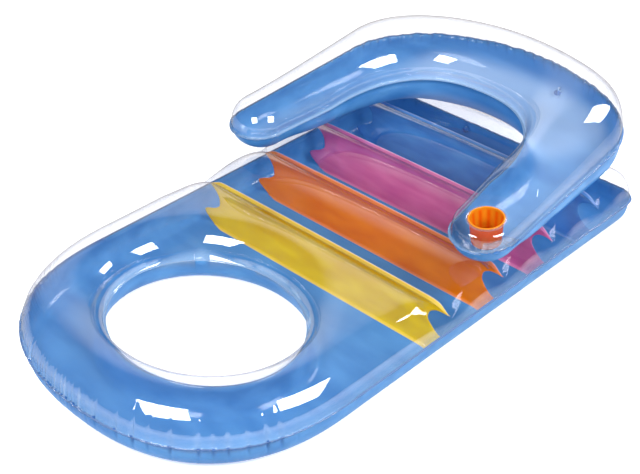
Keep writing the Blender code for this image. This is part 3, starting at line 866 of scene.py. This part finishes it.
    def web_line(self, x: Array, y: Array) -> Array:
        """Height of the top film's valleys above the seam, before the side falls away."""
        across = 1.0 - np.minimum(np.abs(x) / self.half_width, 1.0) ** 2
        side = self.web_side_share + (1.0 - self.web_side_share) * across
        return (np.interp(y, self.web_y, self.web_rise) - self.fold_drop) * side

    def top_z(self, x: Array, y: Array, reach: Reach) -> Array:
        """Height of the clear film's inner face."""
        bulge = arc_share(nearest_gap(y, self.valleys) / (self.pitch / 2), self.chamber_slack)
        bulge = bulge + (1.0 - bulge) * self.end_puff * smooth_step(np.abs(x), *self.chamber_ends)
        panel = self.web_line(x, y) + self.chamber_rise * bulge
        ring = fall(y, self.split_y - self.tube, self.split_y + self.ring_ease)
        crown = panel + (self.ring_rise - panel) * ring
        return self.seam_z + FILM / 2 + crown * tube_share(self.tube_way(reach), self.top_power)

    def bottom_z(self, x: Array, y: Array, reach: Reach) -> Array:
        """Height of the blue film's inner face, flat where it rests on the ground."""
        down = self.seam_z - FILM / 2 - self.bottom_fall * tube_share(self.tube_way(reach), self.bottom_power)
        nearest = nearest_gap(y, self.valleys - self.web_lean)
        side = fall(np.abs(x), *self.valley_ends)
        arc = arc_share(nearest / (self.valley_share * self.pitch), self.valley_slack)
        valley = self.bottom_valley * (1.0 - arc) * side
        flat = -soft_least(-down, -FILM, self.ground_ease)
        return np.maximum(flat + valley, LEAST_Z)

    def creases(self, points: Array, reach: Reach, way: int) -> tuple[Array, ...]:
        """How far the gathers at the outer edge move the film.

        Args:
            points: places in plan, one a row.
            reach: how they lie to the edges.
            way: 1 for the top film, -1 for the bottom film.

        Returns:
            The moves in plan, one a row, the moves in height, and the share of painted crease colour: sheen
            on the top film, shade on the bottom film.
        """
        distance, along, foot = reach.outer, reach.along, reach.foot
        off_edge = np.maximum(distance, TINY)[:, None]
        inward = np.where(off_edge > TINY, (points - foot) / off_edge, 0.0)
        deep_coarse, lift_coarse = self.coarse.at(along)
        deep_fine, lift_fine = self.fine.at(along)
        curved = smooth_step(-foot[:, 1], *self.foot_creases)
        head = smooth_step(foot[:, 1], *self.head_creases) * 0.5
        left = smooth_step(-foot[:, 0], *self.long_creases)
        strong = curved * (1.0 - 0.6 * left) + head
        slight = curved * (0.10 + 0.90 * left) + head * 0.4
        if way > 0:
            power, tall, wide_fade = self.top_power, self.ring_rise, self.top_fade
        else:
            power, tall, wide_fade = self.bottom_power, self.bottom_fall, self.bottom_fade
        past = np.hypot(np.maximum(distance - WELD, 0.0), tall * tube_share(self.tube_way(reach), power))
        still = fall(distance, *self.crease_stop)
        fade = np.exp(-((past / wide_fade) ** 2)) * still
        fine_fade = np.exp(-((past / self.fine_fade) ** 2)) * still
        rim = np.minimum(distance / WELD, 1.0)
        depth, lift = (
            wide * strong * on_wide * fade + fine * slight * on_fine * fine_fade
            for (wide, fine), on_wide, on_fine in (
                (self.crease_depth, deep_coarse, deep_fine),
                (self.crease_lift, lift_coarse, lift_fine),
            )
        )
        if way > 0:
            # Painted sheen: whitish fans between the wide creases and rays on the fine ones.
            fan = 0.35 * self.coarse.at(along, wide=1.8)[0] * (1.0 - left)
            fan = fan * fall(past, *self.fan_fade)
            ray = 0.7 * np.maximum(lift_fine, 0.0) ** 2 * (0.15 + 0.85 * left)
            ray = ray * fall(past, *self.ray_fade)
            fold = curved * (fan + ray) * rim
        else:
            # Painted shade in the creases, partly the doubled film's deeper colour.
            fold = np.maximum(0.95 * deep_coarse * strong, 0.5 * deep_fine * slight)
            fold = fold * fall(past, *self.fold_fade)
            # Painted shade along the seam's edge.
            fold = np.maximum(fold, 0.75 * fall(distance, *self.dark_edge))
        return inward * (depth * rim)[:, None], lift - way * 0.35 * depth * rim, np.clip(fold, 0.0, 1.0)

    def film(self, way: Side) -> Object:
        """Makes the clear film above or the blue film below."""
        top = way is Side.TOP
        mesh = self.sheet()
        flat = np.array([vert.co[:2] for vert in mesh.verts])
        x, y = flat.T
        reach = self.reach(x, y)
        z = self.top_z(x, y, reach) if top else self.bottom_z(x, y, reach)
        plan, height, folded = self.creases(flat, reach, way.value)
        weld = np.maximum(0.6 * fall(reach.outer, *self.hazy_edge), reach.hole < WELD + 0.001)
        pulled = smooth_step(np.abs(x), *self.pulled_across) * (y > self.split_y)
        pulled = pulled * fall(nearest_gap(y, self.valleys), *self.pulled_along)
        dull = np.maximum(0.97 * pulled, fall(reach.outer, *self.dull_edge))
        write_shares(mesh, weld=weld, fold=folded, dull=dull)
        placed = np.column_stack((flat + plan, np.maximum(z + height, LEAST_Z)))
        move_points(mesh, lambda _: placed)
        if not top:
            seat_valve(mesh, Body.BASE.value, cuts=3)
        return finish_film(mesh, Body.BASE, way)

    def end_line(self, level: Array, ends: Row) -> Array:
        """Half width of a web at shares of its height, with a round bite between its two horns."""
        fine = np.linspace(0.0, 1.0, 401)
        rough = np.interp(fine, np.linspace(0.0, 1.0, len(ends)), ends)
        kernel = np.hanning(33)
        padded = np.pad(rough, 16, mode="edge")
        smooth = np.convolve(padded, kernel / kernel.sum(), mode="valid")
        return np.interp(level, fine, smooth)

    def web(self, index: int) -> Object:
        """Makes one upright web, counted from the foot, with its two welded strips."""
        colour = self.web_colours[index]
        valley = float(self.valleys[index])
        low_y = valley - self.web_lean
        random = np.random.default_rng(31 + index)
        strip_steps, face_steps = 4, 28
        total = 2 * strip_steps + face_steps

        def place(points: Array) -> Array:
            """Places of the web's points from its lower strip over its face to its upper strip."""
            row = np.rint(points[:, 1] * total)
            level = np.clip((row - strip_steps) / face_steps, 0.0, 1.0)
            over = np.clip((row - strip_steps - face_steps) / strip_steps, 0.0, 1.0)
            under = np.clip((strip_steps - row) / strip_steps, 0.0, 1.0)
            across = points[:, 0] * 2.0 - 1.0
            near, far = self.end_line(level, self.near_end), self.end_line(level, self.far_end)
            end = np.where(across > 0, near, far) + self.strip_overhang * over
            x = across * end
            taper = 1.0 - smooth_step(np.abs(across), *self.strip_taper) * 0.8
            top_y = valley + over * self.strip * taper
            bottom_y = low_y - under * self.strip * taper
            high = self.top_z(x, top_y, self.reach(x, top_y)) - 2.0 * FILM
            low = self.bottom_z(x, bottom_y, self.reach(x, bottom_y)) + 2.0 * FILM
            z = low + (high - low) * level
            y = bottom_y + (top_y - bottom_y) * level
            wave = np.zeros_like(x)
            for _ in range(self.web_waves):
                slope, length, phase, size = (random.uniform(*limits) for limits in WEB_WAVE)
                wave += size * np.sin(2 * math.pi * (x + slope * z) / length + phase)
            pull = 0.4 + 0.9 * np.abs(across) ** 3
            return np.column_stack((x, y + self.web_wave_height * wave * np.sin(math.pi * level) * pull, z))

        mesh = bmesh.new()
        add_patch(mesh, self.web_steps, total, lambda s, t: (s, t))
        row = np.array([vert.co.y for vert in mesh.verts]) * total
        upper, lower = row - strip_steps - face_steps, strip_steps - row
        past = np.maximum(upper, lower)
        last = np.where(upper > 0, 0.50, 0.35)
        # The welded strips get a weld's faint haze, and their edge rows a painted highlight, as if the edges
        # caught the light.
        write_shares(mesh, pale=np.where(past > strip_steps - 0.5, last, 0.05 * (past > 0.5)))
        move_points(mesh, place)
        bmesh.ops.recalc_face_normals(mesh, faces=mesh.faces)
        slot = "deep_blue_film" if colour == "blue" else colour + "_film"
        made = finish_piece(mesh, colour + "_web", slot, Body.BASE.value, ("web_" + colour,))
        thicken(made, FILM, 0.0)
        return made

    def build(self) -> None:
        """Makes the base's films and webs."""
        self.film(Side.TOP)
        self.film(Side.BOTTOM)
        for index in range(len(self.web_y)):
            self.web(index)


# Horseshoe


@dataclass
class Horseshoe:
    """The raised air space for head and arms, in its own tilted plane: u across, v towards the foot."""

    back_y: float = 0.8113
    back_z: float = 0.2960
    tilt: float = math.radians(6.0)
    back_half_width: float = 0.4295
    back_curve: float = 0.279
    tip_half_width: float = 0.4545
    tip_v: float = 0.6995
    inner_v: float = 0.2415
    inner_half_width: float = 0.261
    inner_curve: float = 0.304
    inner_tip_half_width: float = 0.285
    inner_power: float = 2.35
    back_rise: float = 0.082
    back_fall: float = 0.069
    tip_rise: float = 0.074
    tip_fall: float = 0.061
    tip_blend: Span = (0.30, 0.66)
    wider_tube_rise: float = 0.55
    back_sag: float = 0.022
    sag_along: Span = (0.20, 0.36)
    sag_across: Span = (0.10, 0.30)
    round_tip: Span = (0.58, 0.68)
    top_power: float = 2.2
    bottom_power: float = 2.75
    puff: float = 0.010
    arm_steps: int = 400
    tip_steps: int = 72
    tube_steps: int = 18
    cup_rise: float = 0.040
    cup_pull: Span = (0.090, 0.155)
    cup_lift: float = 0.0007
    cup_ease: float = 0.001
    cup_hole: float = 0.0411
    # Of the wide and the fine creases in turn: how far they pull the film in and how far they lift it.
    crease_depth: Span = (0.0042, 0.0014)
    crease_lift: Span = (0.0022, 0.0010)
    crease_fade: float = 0.009
    crease_stop: Span = (0.020, 0.040)
    # Between these places along, the arms' straight sides are almost free of creases.
    calm_from: Span = (0.26, 0.36)
    calm_to: Span = (0.67, 0.72)
    calm: float = 0.96
    puff_place: Span = (0.36, 0.10)
    puff_radius: float = 0.16
    # The blue film's painted sheen, paler towards the tube's crown: on the arms, and how much more at the
    # back, with where the back ends.
    pale_arms: float = 0.14
    pale_back: float = 0.30
    pale_along: Span = (0.14, 0.30)
    pale_across: Span = (0.24, 0.34)
    pale_from_weld: Span = (0.35, 0.75)
    weld_rows: int = 2

    @property
    def tip_radius(self) -> float:
        """Half width of an arm's tip."""
        return (self.tip_half_width - self.inner_tip_half_width) / 2

    @property
    def tip_u(self) -> float:
        """Distance of an arm tip's middle from the mattress's middle."""
        return (self.tip_half_width + self.inner_tip_half_width) / 2

    @property
    def cup_u(self) -> float:
        """Distance of the cup's axis from the mattress's middle."""
        return self.tip_u + 0.005

    def tilted(self, u: Array, v: Array, height: Array) -> Array:
        """Places of points of the horseshoe's plane, one a row."""
        c, s = math.cos(self.tilt), math.sin(self.tilt)
        return np.column_stack((u, self.back_y - v * c - height * s, self.back_z - v * s + height * c))

    def half_edge(self, half_width: float, first_v: float, curve: float, power: float, tip: float) -> Array:
        """One edge from the back's middle to the arm's end, evenly spaced.

        Args:
            half_width: half width at the back.
            first_v: where the edge crosses the middle.
            curve: length of the curved part.
            power: 2 for an ellipse, more for squarer corners.
            tip: half width at the arm's end.
        """
        turns = np.linspace(0.0, math.pi / 2, self.arm_steps)
        across = half_width * np.sin(turns) ** (2 / power)
        along = first_v + curve * (1.0 - np.cos(turns) ** (2 / power))
        line = np.vstack((np.column_stack((across, along)), (tip, self.tip_v)))
        return even_points(line, self.arm_steps + 1)

    def outline(self) -> tuple[Array, Array, Array]:
        """The welded edge once round, each point with the crown point that it faces.

        Returns:
            The edge's points, the crown's points, and a share that is 1 on the outer edge and the tips.
        """
        outer = self.half_edge(self.back_half_width, 0.0, self.back_curve, 2.0, self.tip_half_width)
        inner = (self.inner_half_width, self.inner_v, self.inner_curve, self.inner_power)
        inner = self.half_edge(*inner, self.inner_tip_half_width)
        crown = (outer + inner) / 2
        turns = np.linspace(0.0, math.pi, self.tip_steps + 1)[1:-1]
        tip = np.column_stack((np.cos(turns), np.sin(turns))) * self.tip_radius + (self.tip_u, self.tip_v)
        edge = np.vstack((outer, tip, inner[::-1]))
        middle = np.vstack((crown, np.repeat(crown[-1:], len(tip), axis=0), crown[::-1]))
        share = np.concatenate((np.ones(len(outer)), np.linspace(1.0, 0.25, len(tip)), np.zeros(len(inner))))
        flip = np.array((-1.0, 1.0))
        edge = np.vstack((edge, edge[::-1][1:] * flip))
        middle = np.vstack((middle, middle[::-1][1:] * flip))
        return edge, middle, np.concatenate((share, share[::-1][1:]))

    def section_power(self, v: Array, way: int) -> Array:
        """Power of the tube's section where its edge lies at v."""
        if way > 0:
            return np.full_like(v, self.top_power)
        return self.bottom_power + (2.0 - self.bottom_power) * smooth_step(v, *self.round_tip)

    def height(self, u: Array, v: Array, turn: Array, span: Array, way: int) -> Array:
        """Distance from the horseshoe's plane.

        Args:
            u: places across.
            v: places along.
            turn: 0 on the weld and 1 on the crown.
            span: half width of the tube.
            way: 1 for the top film, -1 for the bottom film.
        """
        top = way > 0
        back, tip = (self.back_rise, self.tip_rise) if top else (self.back_fall, self.tip_fall)
        crown = back + (tip - back) * smooth_step(v, *self.tip_blend)
        crown = crown + (span - self.tip_radius) * self.wider_tube_rise
        if not top:
            sag = fall(v, *self.sag_along) * fall(np.abs(u), *self.sag_across)
            return (crown + self.back_sag * sag) * turn
        high = crown * turn
        near_cup = fall(np.hypot(u - self.cup_u, v - self.tip_v), *self.cup_pull)
        level = soft_least(high, self.cup_rise + self.cup_lift, self.cup_ease)
        return np.maximum(high + (level - high) * near_cup, 0.0)

    def film(self, way: Side) -> Object:
        """Makes the clear film above or the blue film below."""
        edge, crown, outer_share = self.outline()
        count = len(edge) - 1
        steps = self.tube_steps + self.weld_rows
        span = np.hypot(*(crown - edge).T)
        across = (crown - edge) / span[:, None]
        along = lengths_along(edge)
        coarse = Gathers(float(along[-1]), (0.020, 0.042), 0.0036, seed=23)
        deep, lift = coarse.at(along)
        deep_fine, lift_fine = Gathers(float(along[-1]), (0.009, 0.015), 0.0032, seed=29).at(along)
        calm = self.calm * smooth_step(edge[:, 1], *self.calm_from) * fall(edge[:, 1], *self.calm_to)
        gathered = outer_share * (1.0 - calm)
        powers = 2.0 / self.section_power(edge[:, 1], way.value)

        def inside(row: Array, at: Array) -> Pair:
            """Distance from the weld round the tube, and how much of a crease is left there."""
            past = self.up_tube(row) * math.pi / 2 * span[at]
            return past, np.exp(-past / self.crease_fade) * fall(past, *self.crease_stop)

        def place(points: Array) -> Array:
            """Places of the film's points from its edge to its crown."""
            at = nearest_step(points[:, 0], count)
            row = points[:, 1] * steps
            share = self.up_tube(row)
            angle = math.pi / 2 * share
            rim = np.clip(row / self.weld_rows, 0.0, 1.0)
            reach = rim * WELD + (span[at] - WELD) * (1.0 - np.maximum(np.cos(angle), 0.0) ** powers[at])
            plan = edge[at] + across[at] * reach[:, None]
            turn = np.sin(angle) ** powers[at]
            high = self.height(plan[:, 0], plan[:, 1], turn, span[at], way.value)
            fade = inside(row, at)[1] * gathered[at]
            depth, rise = (
                (wide * on_wide[at] + fine * on_fine[at]) * fade
                for (wide, fine), on_wide, on_fine in (
                    (self.crease_depth, deep, deep_fine),
                    (self.crease_lift, lift, lift_fine),
                )
            )
            depth = depth * rim
            plan = plan + across[at] * depth[:, None]
            if way is Side.TOP:
                off = (plan - self.puff_place) / self.puff_radius
                corner = np.exp(-(off[:, 0] ** 2) - off[:, 1] ** 2)
                swell = self.puff * corner * outer_share[at] * np.sin(math.pi * np.minimum(share * 1.2, 1.0))
                plan = plan - across[at] * swell[:, None]
                high = high + 0.8 * swell
            return self.tilted(plan[:, 0], plan[:, 1], way.value * (high + FILM / 2 - 0.3 * depth) + rise)

        mesh = bmesh.new()
        add_patch(mesh, count, steps, lambda s, t: (s, t))
        shares = np.array([vert.co for vert in mesh.verts])
        at, row = nearest_step(shares[:, 0], count), shares[:, 1] * steps
        past = inside(row, at)[0]
        if way is Side.TOP:
            # Painted sheen on the crease fans by the weld.
            folded = (0.35 * coarse.at(along, wide=2.2)[0] + 0.5 * np.maximum(lift_fine, 0.0))[at]
            rim = np.clip(row / self.weld_rows, 0.0, 1.0)
            folded = 0.6 * folded * gathered[at] * np.exp(-past / 0.007) * rim
        else:
            # Painted shade in the creases, partly the doubled film's deeper colour.
            folded = 0.45 * deep[at] * gathered[at] * np.exp(-past / 0.006)
            # Painted shade along the outer seam.
            folded = np.maximum(folded, 0.5 * outer_share[at] * (row < 1.5))
        # Painted sheen: the blue film is paler towards the tube's crown, most at the back.
        at_back = fall(crown[at][:, 1], *self.pale_along)
        at_back = at_back * fall(np.abs(crown[at][:, 0]), *self.pale_across)
        from_weld = self.up_tube(row) + 0.25 * at_back
        pale = (self.pale_arms + self.pale_back * at_back) * smooth_step(from_weld, *self.pale_from_weld)
        weld = (1.0 - 0.5 * outer_share[at]) * (row < self.weld_rows + 0.5)
        write_shares(mesh, weld=weld, fold=folded, pale=pale, dull=row < self.weld_rows + 1.5)
        move_points(mesh, place)
        bmesh.ops.remove_doubles(mesh, verts=mesh.verts, dist=MERGE)
        if way is Side.TOP:
            open_round(mesh, self.cup_frame(), self.cup_hole)
        else:
            seat_valve(mesh, Body.BACKREST.value)
        return finish_film(mesh, Body.BACKREST, way)

    def up_tube(self, row: Array) -> Array:
        """Share of the way from the weld, at 0, to the tube's crown, at 1, of a row of the film's grid."""
        return np.clip((row - self.weld_rows) / self.tube_steps, 0.0, 1.0)

    def cup_frame(self) -> Matrix:
        """The cup's frame: +Z up its axis, the origin at the rim's height over the arm tip's middle."""
        low, high = self.tilted(np.full(2, self.cup_u), np.full(2, self.tip_v), np.array((0.0, 1.0)))
        z = Vector(high - low).normalized()
        return axis_frame(Vector(low) + z * (self.cup_rise + 2 * FILM), z)

    def build(self) -> None:
        """Makes the horseshoe's films."""
        self.film(Side.TOP)
        self.film(Side.BOTTOM)


# Cup, tabs and valves


@dataclass
class CupWell:
    """The moulded cup that is welded into the arm, with shallow ribs pressed into its wall."""

    place: Matrix
    radius: float = 0.0405
    floor_radius: float = 0.0360
    floor_round: float = 0.004
    depth: float = 0.066
    wall: float = 0.0012
    flange: float = 0.0480
    ribs: int = 12
    rib_depth: float = 0.0009
    rib_ends: Span = (0.004, -0.022)  # above the floor, and below the rim
    steps: int = 144

    def rib(self, place: Vector) -> float:
        """1 on the middle of a rib, where the wall is pressed in, and 0 between two ribs."""
        return 0.5 + 0.5 * math.cos(self.ribs * math.atan2(place.y, place.x))

    def profile(self) -> list[Span]:
        """Radius and height of the wall's outline, from under the floor to its upper face."""
        outside = [(0.0, -self.depth)]
        for turn in np.linspace(0.0, math.pi / 2, 7):
            radius = self.floor_radius - self.floor_round * (1.0 - math.sin(turn))
            outside.append((radius, -self.depth + self.floor_round * (1.0 - math.cos(turn))))
        first = outside[-1]
        for share in np.linspace(0.0, 1.0, 22)[1:]:
            outside.append((first[0] + (self.radius - first[0]) * share, first[1] * (1.0 - share)))
        lip = self.wall
        rim = [(self.flange, 0.0), (self.flange, 0.6 * lip), (self.radius + 0.0035, lip)]
        rim += [(self.radius + 0.0015, 2.2 * lip), (self.radius + 0.0002, 2.6 * lip)]
        rim += [(self.radius - lip, 2.1 * lip)]
        inside = [(max(0.0, r - lip), z + (lip if r < self.floor_radius else 0.0)) for r, z in outside]
        return outside + rim + inside[::-1]

    def build(self) -> Object:
        """Makes the cup."""
        mesh = bmesh.new()
        points = [mesh.verts.new((radius, 0.0, height)) for radius, height in self.profile()]
        edges = [mesh.edges.new(pair) for pair in zip(points, points[1:])]
        full = {"axis": (0, 0, 1), "cent": (0, 0, 0), "angle": 2 * math.pi, "use_merge": True}
        bmesh.ops.spin(mesh, geom=points + edges, steps=self.steps, **full)
        bmesh.ops.remove_doubles(mesh, verts=mesh.verts, dist=TINY)
        number_faces(mesh)
        low, high = self.rib_ends[0] - self.depth, self.rib_ends[1]
        for vert in mesh.verts:
            radius = math.hypot(vert.co.x, vert.co.y)
            share = min(max((vert.co.z - low) / (high - low), 0.0), 1.0)
            if radius > self.floor_radius * 0.8:
                dent = self.rib_depth * math.sin(math.pi * share) ** 0.5 * self.rib(vert.co)
                vert.co.x *= 1.0 - dent / radius
                vert.co.y *= 1.0 - dent / radius
        flange, inside = [], []
        for vert in mesh.verts:
            radius = math.hypot(vert.co.x, vert.co.y)
            wall = self.floor_radius + (self.radius - self.floor_radius) * (1.0 + vert.co.z / self.depth)
            flange.append(radius > self.radius + 0.002)
            within = radius < wall - 0.5 * self.wall or vert.co.z > 0.0
            # Painted light: the lighter colour on the cup's inside and rim, less of it along the ribs.
            inside.append(1.0 - 0.9 * self.rib(vert.co) ** 1.5 * (vert.co.z < -0.003) if within else 0.0)
        write_shares(mesh, flange=flange, inside=inside)
        bmesh.ops.recalc_face_normals(mesh, faces=mesh.faces)
        bmesh.ops.transform(mesh, matrix=self.place, verts=mesh.verts)
        return finish_piece(mesh, "drink_cup", "cup_moulding", Body.BACKREST.value, ("cup_well",))


@dataclass
class ArmTab:
    """A PVC strip welded between the base and an arm's tip, with a welded foot at both ends."""

    side: int
    middle_x: float
    middle_y: float
    half_width: float = 0.018
    foot: float = 0.010
    thickness: float = 0.0008
    start_z: float = 0.152  # a height in the gap between both films
    clear: float = 0.0009  # from a film's face to the middle of the tab's foot

    def build(self, below: BVHTree, above: BVHTree) -> Object:
        """Makes the tab.

        Args:
            below: the base's clear film.
            above: the arm's blue film.
        """
        mesh = bmesh.new()
        add_patch(mesh, 16, 24, lambda s, t: (s, t))

        def place(points: Array) -> Array:
            """Places of the tab's points: lower foot, upright strip, upper foot."""
            moved = []
            for s, t, _ in points:
                x = self.side * self.middle_x + self.half_width * (2.0 * s - 1.0)
                into_low = max(0.0, 0.2 - t) / 0.2 * self.foot
                into_high = max(0.0, t - 0.8) / 0.2 * self.foot
                y = self.middle_y + into_low - into_high
                start = Vector((x, y, self.start_z))
                low = below.ray_cast(start, Vector((0, 0, -1)))[0].z + self.clear
                high = above.ray_cast(start, Vector((0, 0, 1)))[0].z - self.clear
                level = min(max((t - 0.2) / 0.6, 0.0), 1.0)
                moved.append((x, y, low + (high - low) * level))
            return np.array(moved)

        move_points(mesh, place)
        bmesh.ops.recalc_face_normals(mesh, faces=mesh.faces)
        name = "left" if self.side > 0 else "right"
        low, high = (pick(vert.co.z for vert in mesh.verts) for pick in (min, max))
        made = finish_piece(mesh, name + "_arm_tab", "clear_film", "", ("arm_tab_" + name,))
        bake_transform(made)
        thicken(made, self.thickness, 0.0)
        return made


def dress_valves() -> None:
    """Gives the valves' CAD pieces their vinyl, which their shapes need no more than."""
    vinyl = bpy.data.materials[FINISHES["valve_vinyl"].name]
    for name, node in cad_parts.items():
        if "_valve_" in name:
            for material_slot in node.material_slots:
                material_slot.material = vinyl
            LOG.info("%s: CAD shape, moulded vinyl", name)


# Studio


@dataclass(frozen=True)
class Softbox:
    """A rectangular studio light."""

    name: str
    way: Place
    distance: float
    size: Span
    radiance: float
    roll: float = 0.0

    def build(self, target: Vector) -> None:
        """Places the light and turns it to the target."""
        data = bpy.data.lights.new(self.name, "AREA")
        data.shape = "RECTANGLE"
        data.size, data.size_y = self.size
        data.energy = math.pi * self.size[0] * self.size[1] * self.radiance
        light = add_object(self.name, data)
        way = Vector(self.way).normalized()
        turn = (-way).to_track_quat("-Z", "Y").to_matrix() @ Matrix.Rotation(self.roll, 3, "Z")
        light.matrix_world = Matrix.Translation(target + way * self.distance) @ turn.to_4x4()
        light.visible_camera = False


@dataclass(frozen=True)
class Studio:
    """A white floor, three softboxes, the room's light and the camera at the photograph's angle."""

    camera_place: Place = (1.7868, -1.9038, 1.8867)
    camera_way: Place = (-0.5709, 0.5935, -0.5673)
    lens: float = 72.18
    sensor: float = 36.0
    middle: Place = (0.0, 0.0, 0.12)
    sky_low: float = 0.30
    sky_high: float = 0.50
    room_in_gloss: float = 0.20
    wall_in_gloss: float = 0.95
    wall_way: Place = (-0.780, 0.610, 0.139)
    wall_spread: Span = (17.0, 40.0)
    floor_half: float = 14.0
    floor_z: float = -0.0006
    softboxes: tuple[Softbox, ...] = (
        Softbox("side_softbox", (0.7715, 0.0400, 0.6350), 2.29, (1.181, 1.016), 13.0, math.radians(65.0)),
        Softbox("head_softbox", (0.2593, 0.7717, 0.5807), 1.92, (0.607, 0.596), 13.0, math.radians(58.2)),
        Softbox("foot_softbox", (0.0639, -0.7792, 0.6235), 2.04, (0.754, 0.983), 13.0, math.radians(29.2)),
    )

    def build_camera(self) -> None:
        """Makes the camera."""
        data = bpy.data.cameras.new("photo_camera")
        data.sensor_width = self.sensor
        data.sensor_fit = "HORIZONTAL"
        data.lens = self.lens
        data.dof.use_dof = False
        camera = add_object("photo_camera", data)
        turn = Vector(self.camera_way).to_track_quat("-Z", "Y").to_matrix().to_4x4()
        camera.matrix_world = Matrix.Translation(Vector(self.camera_place)) @ turn
        bpy.context.scene.camera = camera

    def build(self) -> None:
        """Makes the floor, the lights and the world."""
        mesh = bmesh.new()
        bmesh.ops.create_grid(mesh, x_segments=2, y_segments=2, size=self.floor_half)
        data = bpy.data.meshes.new("studio_floor")
        mesh.to_mesh(data)
        mesh.free()
        data.transform(Matrix.Translation((0.0, 0.0, self.floor_z)))
        data.materials.append(StudioFloor().build())
        add_object("studio_floor", data)
        for softbox in self.softboxes:
            softbox.build(Vector(self.middle))
        scene = bpy.context.scene
        world = bpy.data.worlds.new("studio_air")
        world.use_nodes = True
        air = world.node_tree
        way = add_node(air, "TexCoord").outputs["Generated"]
        height = add_node(air, "SeparateXYZ", {0: way}).outputs["Z"]
        room = {0: height, 1: self.sky_high, 2: self.sky_low}
        room = add_node(air, "Math", room, operation="MULTIPLY_ADD").outputs[0]
        towards = add_node(air, "VectorMath", {0: way, 1: self.wall_way}, operation="DOT_PRODUCT")
        near, far = (math.cos(math.radians(angle)) for angle in self.wall_spread)
        wall = {
            "Value": towards.outputs["Value"],
            "From Min": far,
            "From Max": near,
            "To Min": self.room_in_gloss,
            "To Max": self.room_in_gloss + self.wall_in_gloss,
        }
        wall = add_node(air, "MapRange", wall, interpolation_type="SMOOTHSTEP").outputs["Result"]
        path = add_node(air, "LightPath").outputs
        strength = room
        for ray, light in (("Is Glossy Ray", wall), ("Is Camera Ray", 1.0)):
            links = {"Factor": path[ray], "A": strength, "B": light}
            strength = add_node(air, "Mix", links).outputs["Result"]
        back = air.nodes["Background"]
        back.inputs["Color"].default_value = WHITE
        air.links.new(strength, back.inputs["Strength"])
        scene.world = world
        scene.view_settings.view_transform = "Standard"
        scene.cycles.transparent_max_bounces = 48


def surface_tree(piece: Object) -> BVHTree:
    """A piece's finished faces, for finding where another piece meets them."""
    return BVHTree.FromObject(piece, bpy.context.evaluated_depsgraph_get())


def main() -> None:
    """Builds the studio and the mattress, piece by piece."""
    studio = Studio()
    studio.build_camera()
    for finish in FINISHES.values():
        finish.build()
    base = Base()
    base.build()
    horseshoe = Horseshoe()
    horseshoe.build()
    CupWell(horseshoe.cup_frame()).build()
    bpy.context.view_layer.update()
    below = surface_tree(bpy.data.objects["base_clear_film"])
    above = surface_tree(bpy.data.objects["backrest_blue_film"])
    tip = horseshoe.tilted(np.array([horseshoe.tip_u]), np.array([horseshoe.tip_v]), np.zeros(1))[0]
    for side in (1, -1):
        ArmTab(side, float(tip[0]), float(tip[1])).build(below, above)
    dress_valves()
    studio.build()


if __name__ == "__main__":
    main()
